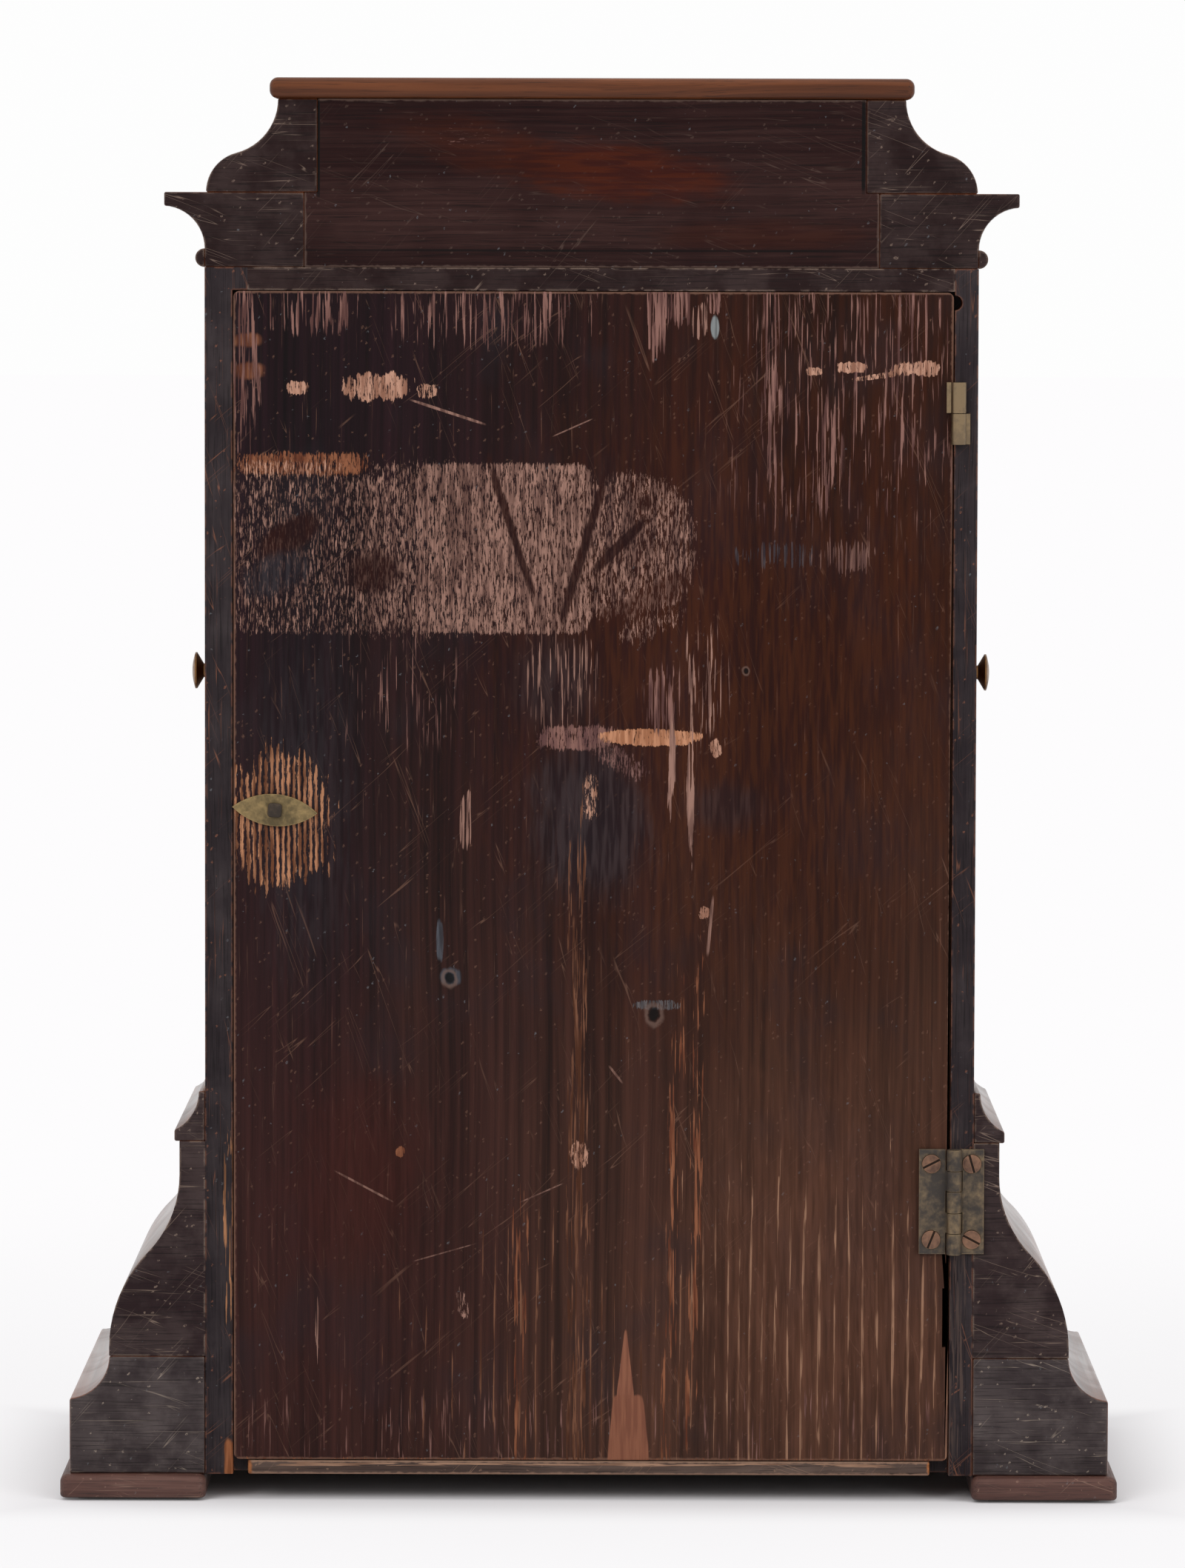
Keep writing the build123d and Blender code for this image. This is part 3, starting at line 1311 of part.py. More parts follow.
with BuildPart() as plate_pillars:
    for x, z in pillar_places:
        rod_along_y(x, z, front_plate_back_y, back_plate_y, pillar_waist_radius)
        for start in (front_plate_back_y, (front_plate_back_y + back_plate_y - pillar_radius) / 2,
                      back_plate_y - pillar_radius):
            rod_along_y(x, z, start, start + pillar_radius, pillar_radius)
        rod_along_y(x, z, front_plate_y - pillar_tail_radius, back_plate_back_y + pillar_tail_radius,
                    pillar_tail_radius)
plate_pillars.part.label = "plate_pillars"

# Dial
dial_back_y = dial_front_y + dial_thickness
with BuildPart() as dial_plate:
    extrude(break_arch(upright_plane(dial_back_y), dial_cover), amount=dial_thickness)
    rod_along_y(0, dial_centre_z, dial_front_y - cut_overrun, dial_back_y + cut_overrun,
                hour_pipe_radius + joint_gap, mode=Mode.SUBTRACT)
    for x in (-winding_x, winding_x):
        rod_along_y(x, barrel_z, dial_front_y - cut_overrun, dial_back_y + cut_overrun,
                    winding_hole_radius, mode=Mode.SUBTRACT)
    for side in (-1, 1):
        for offset in (-dial_foot_z, dial_foot_z):
            rod_along_y(side * dial_foot_x, dial_centre_z + offset, dial_back_y, front_plate_y,
                        dial_foot_radius)
            rod_along_y(side * dial_foot_x, dial_centre_z + offset, front_plate_y,
                        front_plate_back_y + dial_foot_radius, dial_foot_radius / 2)
dial_plate.part.label = "dial_plate"

with BuildPart() as chapter_ring:
    rod_along_y(0, dial_centre_z, dial_front_y - chapter_thickness, dial_front_y,
                chapter_outer_radius)
    rod_along_y(0, dial_centre_z, dial_front_y - chapter_thickness - cut_overrun,
                dial_front_y + cut_overrun, chapter_inner_radius, mode=Mode.SUBTRACT)
chapter_ring.part.label = "chapter_ring"

corner_reach = (opening_half + chapter_outer_radius * cos(pi / 4)) / 2 + spandrel_scroll_radius
arch_centre_z = front_shoulder_z + front_arch_rise - boss_radius - boss_crown_gap
with BuildPart() as dial_ornaments:
    with BuildSketch(upright_plane(dial_front_y, 0, dial_centre_z)) as leaves:
        for x_side in (-1, 1):
            for z_side in (-1, 1):
                with Locations((x_side * corner_reach, z_side * corner_reach)):
                    Circle(spandrel_leaf_radius)
                with Locations((x_side * corner_reach, z_side * (corner_reach - spandrel_leaf_radius)),
                               (x_side * (corner_reach - spandrel_leaf_radius), z_side * corner_reach),
                               (x_side * (corner_reach + spandrel_scroll_radius),
                                z_side * (corner_reach + spandrel_scroll_radius))):
                    Circle(spandrel_scroll_radius)
    extrude(leaves.sketch, amount=spandrel_thickness)
    with BuildSketch(upright_plane(dial_front_y, 0, arch_centre_z)) as boss:
        Circle(boss_radius)
        Circle(boss_inner_radius, mode=Mode.SUBTRACT)
    extrude(boss.sketch, amount=boss_thickness)
dial_ornaments.part.label = "dial_ornaments"

# Anchor with its arbor, and the pendulum fixed on it behind the back plate
cock_back_y = back_plate_back_y + cock_depth
contact_radius = escape_radius + pallet_clearance
contact_x = contact_radius * sin(radians(pallet_span_angle))
contact_z = escape_z + contact_radius * cos(radians(pallet_span_angle))
with BuildPart() as anchor:
    with BuildSketch(upright_plane(escape_wheel_y + wheel_thickness + fit_gap, 0, 0)):
        with BuildLine():
            Polyline((0, anchor_arbor_z + anchor_arm_width),
                     (contact_x + anchor_arm_width, contact_z + anchor_arm_width),
                     (contact_x + anchor_arm_width, contact_z - pallet_drop),
                     (contact_x + pallet_clearance, contact_z - pallet_drop),
                     (contact_x + pallet_clearance, contact_z + pallet_clearance),
                     (0, anchor_arbor_z - anchor_arm_width),
                     (-contact_x - pallet_clearance, contact_z + pallet_clearance),
                     (-contact_x - pallet_clearance, contact_z - pallet_drop),
                     (-contact_x - anchor_arm_width, contact_z - pallet_drop),
                     (-contact_x - anchor_arm_width, contact_z + anchor_arm_width), close=True)
        make_face()
    extrude(amount=wheel_thickness + 2 * fit_gap)
    rod_along_y(0, anchor_arbor_z, front_plate_back_y + seat_gap, cock_back_y - seat_gap - cock_thickness,
                arbor_radius)
    rod_along_y(0, anchor_arbor_z, front_plate_y, cock_back_y, pivot_radius)
anchor.part.label = "anchor"

bob_z = anchor_arbor_z - pendulum_length
with BuildPart() as pendulum_rod:
    rod_along_z(0, pendulum_y, bob_z - rod_tail_length, anchor_arbor_z, pendulum_rod_radius)
    rod_along_y(0, anchor_arbor_z, pendulum_y - rating_nut_radius, pendulum_y + rating_nut_radius,
                rating_nut_radius)
    rod_along_y(0, anchor_arbor_z, pendulum_y - 2 * rating_nut_radius,
                pendulum_y + 2 * rating_nut_radius, arbor_radius + fit_gap, mode=Mode.SUBTRACT)
    rod_along_z(0, pendulum_y, bob_z - bob_radius - rating_nut_height - seat_gap,
                bob_z - bob_radius - seat_gap, rating_nut_radius)
pendulum_rod.part.label = "pendulum_rod"

bob_arc_radius = (bob_radius ** 2 + bob_half_thickness ** 2) / (2 * bob_half_thickness)
with BuildPart() as pendulum_bob:
    with BuildSketch(Plane(origin=(0, pendulum_y, bob_z), x_dir=(1, 0, 0), z_dir=(0, 0, 1))):
        with BuildLine():
            Line((0, -bob_half_thickness), (0, bob_half_thickness))
            ThreePointArc((0, bob_half_thickness),
                          (bob_radius / 2, bob_half_thickness - bob_arc_radius
                           + sqrt(bob_arc_radius ** 2 - bob_radius ** 2 / 4)), (bob_radius, 0))
            ThreePointArc((bob_radius, 0),
                          (bob_radius / 2, bob_arc_radius - bob_half_thickness
                           - sqrt(bob_arc_radius ** 2 - bob_radius ** 2 / 4)),
                          (0, -bob_half_thickness))
        make_face()
    revolve(axis=Axis((0, pendulum_y, bob_z), (0, 1, 0)))
    rod_along_z(0, pendulum_y, bob_z - 2 * bob_radius, bob_z + 2 * bob_radius,
                pendulum_rod_radius + fit_gap, mode=Mode.SUBTRACT)
pendulum_bob.part.label = "pendulum_bob"

# Back cock, which carries the rear pivot of the anchor's arbor
cock_low_z = anchor_arbor_z - cock_height / 2
cock_high_z = anchor_arbor_z + cock_height / 2
with BuildPart() as back_cock:
    block(-cock_half_width, cock_half_width, cock_back_y - cock_thickness, cock_back_y, cock_low_z,
          cock_high_z)
    for side in (-1, 1):
        inner, outer = cock_half_width - cock_thickness, cock_half_width
        block(min(side * inner, side * outer), max(side * inner, side * outer), back_plate_back_y,
              cock_back_y, cock_low_z, cock_high_z)
        outer_foot = cock_half_width + cock_foot_height
        block(min(side * inner, side * outer_foot), max(side * inner, side * outer_foot),
              back_plate_back_y, back_plate_back_y + cock_thickness, cock_low_z, cock_high_z)
    rod_along_y(0, anchor_arbor_z, cock_back_y - cock_thickness - cut_overrun,
                cock_back_y + cut_overrun, pivot_radius + fit_gap, mode=Mode.SUBTRACT)
back_cock.part.label = "back_cock"

# Bell on its stand above the plates
bell_crown_z = bell_rim_z + bell_height_inside
bell_section = Plane(origin=(0, bell_centre_y, 0), x_dir=(1, 0, 0), z_dir=(0, -1, 0))
with BuildPart() as bell:
    with BuildSketch(bell_section):
        with BuildLine():
            Line((0, bell_crown_z), (0, bell_crown_z + bell_wall))
            TangentArc((0, bell_crown_z + bell_wall), (bell_radius + bell_wall, bell_rim_z),
                       tangent=(1, 0))
            Line((bell_radius + bell_wall, bell_rim_z), (bell_radius, bell_rim_z))
            TangentArc((0, bell_crown_z), (bell_radius, bell_rim_z), tangent=(1, 0))
        make_face()
    revolve(axis=Axis((0, bell_centre_y, 0), (0, 0, 1)))
    rod_along_z(0, bell_centre_y, bell_crown_z - bell_radius / 4, bell_crown_z + bell_radius / 4,
                bell_post_radius + fit_gap, mode=Mode.SUBTRACT)
bell.part.label = "bell"

stand_arm_z = bell_crown_z + bell_wall
with BuildPart() as bell_stand:
    block(-bell_stand_width / 2, bell_stand_width / 2, back_plate_back_y,
          back_plate_back_y + bell_stand_thickness, cock_high_z + joint_gap,
          stand_arm_z + bell_stand_thickness)
    block(-bell_stand_width / 2, bell_stand_width / 2, bell_centre_y - bell_stand_width / 2,
          back_plate_back_y + bell_stand_thickness, stand_arm_z, stand_arm_z + bell_stand_thickness)
    rod_along_z(0, bell_centre_y, bell_crown_z - bell_stand_thickness, stand_arm_z, bell_post_radius)
bell_stand.part.label = "bell_stand"

# Hammer on its own arbor, resting just off the bell's rim
head_reach_x = -(bell_radius + bell_wall + hammer_rest_gap)
head_z = bell_rim_z + hammer_head_radius / 2
hammer_angle = atan2(head_z - hammer_z, head_reach_x - hammer_head_length / 2 - hammer_x)
rod_length = hypot(head_z - hammer_z, head_reach_x - hammer_head_length / 2 - hammer_x)
with BuildPart() as bell_hammer:
    rod_along_y(hammer_x, hammer_z, front_plate_back_y + seat_gap, back_plate_y - seat_gap,
                arbor_radius)
    rod_along_y(hammer_x, hammer_z, front_plate_y, back_plate_back_y, pivot_radius)
    rod_plane = Plane(origin=(hammer_x, bell_centre_y, hammer_z), x_dir=(0, 1, 0),
                      z_dir=(cos(hammer_angle), 0, sin(hammer_angle)))
    with BuildSketch(rod_plane):
        Circle(hammer_rod_radius)
    extrude(amount=rod_length)
    rod_along_x(bell_centre_y, head_z, head_reach_x - hammer_head_length, head_reach_x,
                hammer_head_radius)
    block(hammer_x, hammer_x + hammer_tail_length, bell_centre_y - arbor_radius,
          bell_centre_y + arbor_radius, hammer_z - arbor_radius, hammer_z + arbor_radius)
bell_hammer.part.label = "bell_hammer"

# Write one file for each sub-part
sub_parts = (
    block_feet, felt_pads, plinth_moulding, ogee_moulding, upper_base_moulding, bead_moulding,
    cornice_moulding, bell_top_moulding, crown_back_board, top_cap, case_side_latch,
    case_side_hinge, bottom_board, top_board, lower_front_rail, seat_board, rear_door,
    rear_hinge_case_leaves, rear_hinge_door_leaves, rear_hinge_case_screws,
    rear_hinge_door_screws, latch_plate, latch_spindle, front_door_frame, front_door_glass,
    front_door_bezel, key_escutcheon, front_door_lock, lock_bolt, front_hinge_case_leaves,
    front_hinge_door_leaves, side_door_latch_side, side_door_hinge_side, side_glass_latch_side,
    side_glass_hinge_side, side_knob_latch_side, side_knob_hinge_side, going_barrel,
    strike_barrel, centre_wheel, third_wheel, escape_wheel, cannon_wheel, minute_wheel,
    hour_wheel, hour_hand, minute_hand, pin_wheel, movement_plates, plate_pillars,
    dial_plate, chapter_ring, dial_ornaments, anchor, pendulum_rod, pendulum_bob, back_cock,
    bell, bell_stand, bell_hammer,
)
for sub_part in sub_parts:
    export_step(sub_part.part, "parts/" + sub_part.part.label + ".step")
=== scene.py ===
"""Looks of the bell-top table clock: its finishes, softened boards and modelled details.

Metres, in the frame of the CAD part. The clock is shown from behind, from +Y, with +X on
the left. Finishes are procedural and read the object coordinates, which are the frame's.
"""
from __future__ import annotations

import functools
import json
import logging
import math
from dataclasses import dataclass
from enum import Enum
from typing import Callable, ClassVar, Iterable, Union

import bpy
from mathutils import Matrix, Vector

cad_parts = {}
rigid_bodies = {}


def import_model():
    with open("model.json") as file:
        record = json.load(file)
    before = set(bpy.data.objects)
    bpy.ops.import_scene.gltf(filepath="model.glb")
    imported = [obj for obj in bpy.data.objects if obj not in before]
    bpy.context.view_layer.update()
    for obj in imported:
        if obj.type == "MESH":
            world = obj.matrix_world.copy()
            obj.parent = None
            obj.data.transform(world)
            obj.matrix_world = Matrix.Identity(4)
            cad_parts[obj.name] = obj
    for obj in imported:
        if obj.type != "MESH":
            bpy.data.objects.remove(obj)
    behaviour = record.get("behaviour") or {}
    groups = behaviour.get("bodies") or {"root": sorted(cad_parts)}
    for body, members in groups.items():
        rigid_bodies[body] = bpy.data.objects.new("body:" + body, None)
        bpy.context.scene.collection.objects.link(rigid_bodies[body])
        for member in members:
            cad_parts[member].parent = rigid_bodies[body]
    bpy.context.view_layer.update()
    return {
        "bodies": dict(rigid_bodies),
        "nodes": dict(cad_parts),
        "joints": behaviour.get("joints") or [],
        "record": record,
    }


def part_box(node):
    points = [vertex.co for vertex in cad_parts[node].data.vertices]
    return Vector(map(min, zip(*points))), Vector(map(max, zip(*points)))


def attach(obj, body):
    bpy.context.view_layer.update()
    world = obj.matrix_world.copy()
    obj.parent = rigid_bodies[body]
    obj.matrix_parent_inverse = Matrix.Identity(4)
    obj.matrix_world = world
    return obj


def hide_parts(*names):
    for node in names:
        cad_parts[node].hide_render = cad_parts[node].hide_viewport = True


LOG = logging.getLogger("clock")
Socket = bpy.types.NodeSocket
Value = Union[Socket, float, tuple]
Colour = tuple[float, float, float, float]

PHOTO_WIDTH = 1600
PHOTO_HEIGHT = 2117
BACK_PLANE_Y = 0.0905
MITRE_LINE = 0.0004
OUT_OF_REACH = 9.0
OWN = "clock"
HAZE = 0.012
DARKEST = 0.0015
BROAD_SPAN = (0.34, 0.68)
FINE_SPAN = (0.36, 0.66)
SIGHT_RAYS = ("Camera", "Glossy", "Transmission")


class Grain(Enum):
    """The way the grain of a board runs."""

    LEVEL = "X"
    DEPTH = "Y"
    UPRIGHT = "Z"


def srgb(red: float, green: float, blue: float) -> Colour:
    """A linear colour from 8-bit display values.

    Args:
        red: Display red, 0 to 255.
        green: Display green, 0 to 255.
        blue: Display blue, 0 to 255.

    Returns:
        The linear colour with full alpha.
    """
    def linear(level: float) -> float:
        """The linear level of one display level."""
        share = level / 255
        return share / 12.92 if share <= 0.04045 else ((share + 0.055) / 1.055) ** 2.4

    return linear(red), linear(green), linear(blue), 1.0


def seen(red: float, green: float, blue: float) -> Colour:
    """The base colour that shows as the given display colour under the wood's own soft sheen.

    Args:
        red: Display red, 0 to 255.
        green: Display green, 0 to 255.
        blue: Display blue, 0 to 255.

    Returns:
        The linear colour less the sheen, never quite black.
    """
    levels = [max(level - HAZE, DARKEST) for level in srgb(red, green, blue)[:3]]
    return levels[0], levels[1], levels[2], 1.0


@dataclass(frozen=True)
class Viewpoint:
    """The place and lens from which the photo sees the clock.

    Args:
        place: Where the camera stands.
        yaw: Its turn about the upright, in degrees.
        pitch: Its tilt downwards, in degrees.
        roll: Its turn about its own axis, in degrees.
        focal_pixels: Its focal length, in pixels of the photo.
        sensor: Height of its sensor, in millimetres.
        clip: Nearest and farthest distance that it sees.
    """

    place: tuple[float, float, float] = (-0.0065, 2.9481, 0.4590)
    yaw: float = 0.115
    pitch: float = 4.043
    roll: float = 0.151
    focal_pixels: float = 10883.9
    sensor: float = 36.0
    clip: tuple[float, float] = (0.1, 60.0)

    def axes(self) -> tuple[Vector, Vector, Vector]:
        """The camera's directions.

        Returns:
            Its right, up and forward directions.
        """
        yaw, pitch, roll = (math.radians(a) for a in (self.yaw, self.pitch, self.roll))
        forward = Vector((math.sin(yaw) * math.cos(pitch), -math.cos(yaw) * math.cos(pitch),
                          -math.sin(pitch)))
        level = forward.cross(Vector((0, 0, 1))).normalized()
        upright = level.cross(forward)
        right = level * math.cos(roll) + upright * math.sin(roll)
        up = upright * math.cos(roll) - level * math.sin(roll)
        return right, up, forward

    def on_back(self, column: float, row: float) -> tuple[float, float]:
        """Where a photo pixel meets the plane of the case's back.

        Args:
            column: The pixel's column.
            row: The pixel's row.

        Returns:
            X and Z of the place.
        """
        right, up, forward = self.axes()
        ray = (forward * self.focal_pixels + right * (column - PHOTO_WIDTH / 2)
               + up * (PHOTO_HEIGHT / 2 - row))
        reach = (BACK_PLANE_Y - self.place[1]) / ray.y
        return self.place[0] + ray.x * reach, self.place[2] + ray.z * reach

    def camera(self) -> bpy.types.Object:
        """Adds the camera and makes it the scene's own.

        Returns:
            The camera.
        """
        right, up, forward = self.axes()
        bpy.ops.object.camera_add(location=self.place)
        camera = bpy.context.object
        camera.rotation_euler = Matrix((right, up, -forward)).transposed().to_euler()
        camera.data.sensor_width = self.sensor
        camera.data.lens = self.focal_pixels / PHOTO_HEIGHT * self.sensor
        camera.data.clip_start, camera.data.clip_end = self.clip
        bpy.context.scene.camera = camera
        return camera


VIEWPOINT = Viewpoint()


class Tree:
    """Adds and wires the nodes of one material or node group."""

    def __init__(self, tree: bpy.types.NodeTree) -> None:
        """Starts on an empty node tree.

        Args:
            tree: The tree that the nodes go into.
        """
        self.tree = tree

    def node(self, kind: str, **settings: object) -> bpy.types.Node:
        """Adds a node and sets its own properties.

        Args:
            kind: The node's type.
            **settings: The properties by name.

        Returns:
            The new node.
        """
        made = self.tree.nodes.new(kind)
        for name, value in settings.items():
            setattr(made, name, value)
        return made

    def feed(self, value: Value, socket: Socket) -> None:
        """Wires an output into an input, or writes a constant on it.

        Args:
            value: The output or the constant.
            socket: The input.
        """
        if isinstance(value, Socket):
            self.tree.links.new(value, socket)
        else:
            socket.default_value = value

    def feed_all(self, made: bpy.types.Node, *values: Value) -> bpy.types.Node:
        """Feeds the node's first inputs in their order.

        Args:
            made: The node.
            *values: A value for each input.

        Returns:
            The node.
        """
        for socket, value in zip(made.inputs, values):
            self.feed(value, socket)
        return made

    def math(self, operation: str, first: Value, second: Value = 0.0, clamp: bool = False) -> Socket:
        """A scalar operation, kept between 0 and 1 where clamp says so."""
        made = self.node("ShaderNodeMath", operation=operation, use_clamp=clamp)
        return self.feed_all(made, first, second).outputs[0]

    def plus(self, first: Value, second: Value) -> Socket:
        """The two values added."""
        return self.math("ADD", first, second)

    def minus(self, first: Value, second: Value) -> Socket:
        """The first value less the second."""
        return self.math("SUBTRACT", first, second)

    def ratio(self, first: Value, second: Value) -> Socket:
        """The first value divided by the second."""
        return self.math("DIVIDE", first, second)

    def size(self, value: Value) -> Socket:
        """The value without its sign."""
        return self.math("ABSOLUTE", value)

    def invert(self, value: Value) -> Socket:
        """One minus the value."""
        return self.minus(1.0, value)

    def product(self, *values: Value) -> Socket:
        """All the values multiplied together."""
        return functools.reduce(lambda first, second: self.math("MULTIPLY", first, second), values)

    def strongest(self, *values: Value) -> Socket:
        """The largest of the values."""
        return functools.reduce(lambda first, second: self.math("MAXIMUM", first, second), values)

    def rise(self, value: Value, low: Value, high: Value) -> Socket:
        """A smooth step from 0 to 1 as the value goes from low to high."""
        made = self.node("ShaderNodeMapRange", interpolation_type="SMOOTHSTEP")
        return self.feed_all(made, value, low, high).outputs[0]

    def blend(self, share: Value, first: Value, second: Value, mode: str = "MIX") -> Socket:
        """A colour between two colours.

        Args:
            share: The second colour's share.
            first: The first colour.
            second: The second colour.
            mode: The way they are blended.

        Returns:
            The blended colour.
        """
        made = self.node("ShaderNodeMix", data_type="RGBA", blend_type=mode)
        self.feed(share, made.inputs[0])
        self.feed(first, made.inputs[6])
        self.feed(second, made.inputs[7])
        return made.outputs[2]

    def lay(self, colour: Value, other: Value, mask: Value, strength: float) -> Socket:
        """The colour with another laid over it where the mask is."""
        return self.blend(self.product(mask, strength), colour, other)

    def vector(self, operation: str, first: Value, second: Value = (0.0, 0.0, 0.0)) -> Socket:
        """A vector operation on two vectors.

        Args:
            operation: Name of the operation.
            first: The first vector.
            second: The second vector.

        Returns:
            The vector, or the number where the operation gives one.
        """
        made = self.feed_all(self.node("ShaderNodeVectorMath", operation=operation), first, second)
        return made.outputs[1] if operation in ("DOT_PRODUCT", "LENGTH") else made.outputs[0]

    def scaled(self, vector: Value, x: float, y: float, z: float) -> Socket:
        """The vector with each axis multiplied."""
        return self.vector("MULTIPLY", vector, (x, y, z))

    def split(self, vector: Value) -> tuple[Socket, Socket, Socket]:
        """The three parts of a vector."""
        made = self.feed_all(self.node("ShaderNodeSeparateXYZ"), vector)
        return made.outputs[0], made.outputs[1], made.outputs[2]

    def joined(self, x: Value, y: Value, z: Value) -> Socket:
        """A vector from three parts."""
        return self.feed_all(self.node("ShaderNodeCombineXYZ"), x, y, z).outputs[0]

    def noise(self, vector: Value, scale: float = 1.0, detail: float = 2.0,
              roughness: float = 0.5) -> Socket:
        """Cloud noise between about 0.2 and 0.8.

        Args:
            vector: Where the noise is taken.
            scale: How closely the clouds are set.
            detail: How many finer layers are added.
            roughness: How strong the finer layers are.

        Returns:
            The noise.
        """
        made = self.node("ShaderNodeTexNoise")
        for name, given in (("Vector", vector), ("Scale", scale), ("Detail", detail),
                            ("Roughness", roughness)):
            self.feed(given, made.inputs[name])
        return made.outputs["Fac"]

    def place(self) -> Socket:
        """The object coordinates of the point being shaded."""
        return self.node("ShaderNodeTexCoord").outputs["Object"]

    def facing(self) -> Socket:
        """The surface's normal in object space."""
        return self.node("ShaderNodeTexCoord").outputs["Normal"]

    def along(self, grain: Grain) -> Socket:
        """The object coordinates turned so that the grain runs along Z.

        Args:
            grain: The way the grain runs.

        Returns:
            The turned coordinates.
        """
        x, y, z = self.split(self.place())
        if grain is Grain.LEVEL:
            return self.joined(z, y, x)
        if grain is Grain.DEPTH:
            return self.joined(x, z, y)
        return self.joined(x, y, z)

    def use(self, group: bpy.types.NodeTree, **given: Value) -> bpy.types.Node:
        """Adds a shared effect.

        Args:
            group: The effect's node group.
            **given: Values for its inputs, by their names with underscores.

        Returns:
            The group's node.
        """
        made = self.node("ShaderNodeGroup", node_tree=group)
        for name, value in given.items():
            self.feed(value, made.inputs[name.replace("_", " ").title()])
        return made

    def mask(self, group: bpy.types.NodeTree, **given: Value) -> Socket:
        """The mask of a shared effect."""
        return self.use(group, **given).outputs["Mask"]

    def bump(self, height: Socket, distance: float) -> Socket:
        """A normal that shows the height.

        Args:
            height: The height, as a share of the distance.
            distance: How far a height of one stands out, in metres.

        Returns:
            The normal.
        """
        made = self.node("ShaderNodeBump")
        for name, given in (("Strength", 1.0), ("Distance", distance), ("Height", height)):
            self.feed(given, made.inputs[name])
        return made.outputs[0]

    def looked_at(self) -> Socket:
        """One for rays that show the surface straight, in a mirror or through glass."""
        path = self.node("ShaderNodeLightPath")
        return self.strongest(*(path.outputs[f"Is {kind} Ray"] for kind in SIGHT_RAYS))

    def mixed(self, share: Value, first: Socket, second: Socket) -> Socket:
        """A mix of two shaders."""
        return self.feed_all(self.node("ShaderNodeMixShader"), share, first, second).outputs[0]

    def close(self, kind: str, shader: Socket) -> None:
        """Adds the tree's output node and wires the shader into it."""
        self.feed(shader, self.node(kind).inputs["Surface"])


FLOAT = "NodeSocketFloat"
VECTOR = "NodeSocketVector"
Sockets = dict[str, Socket]


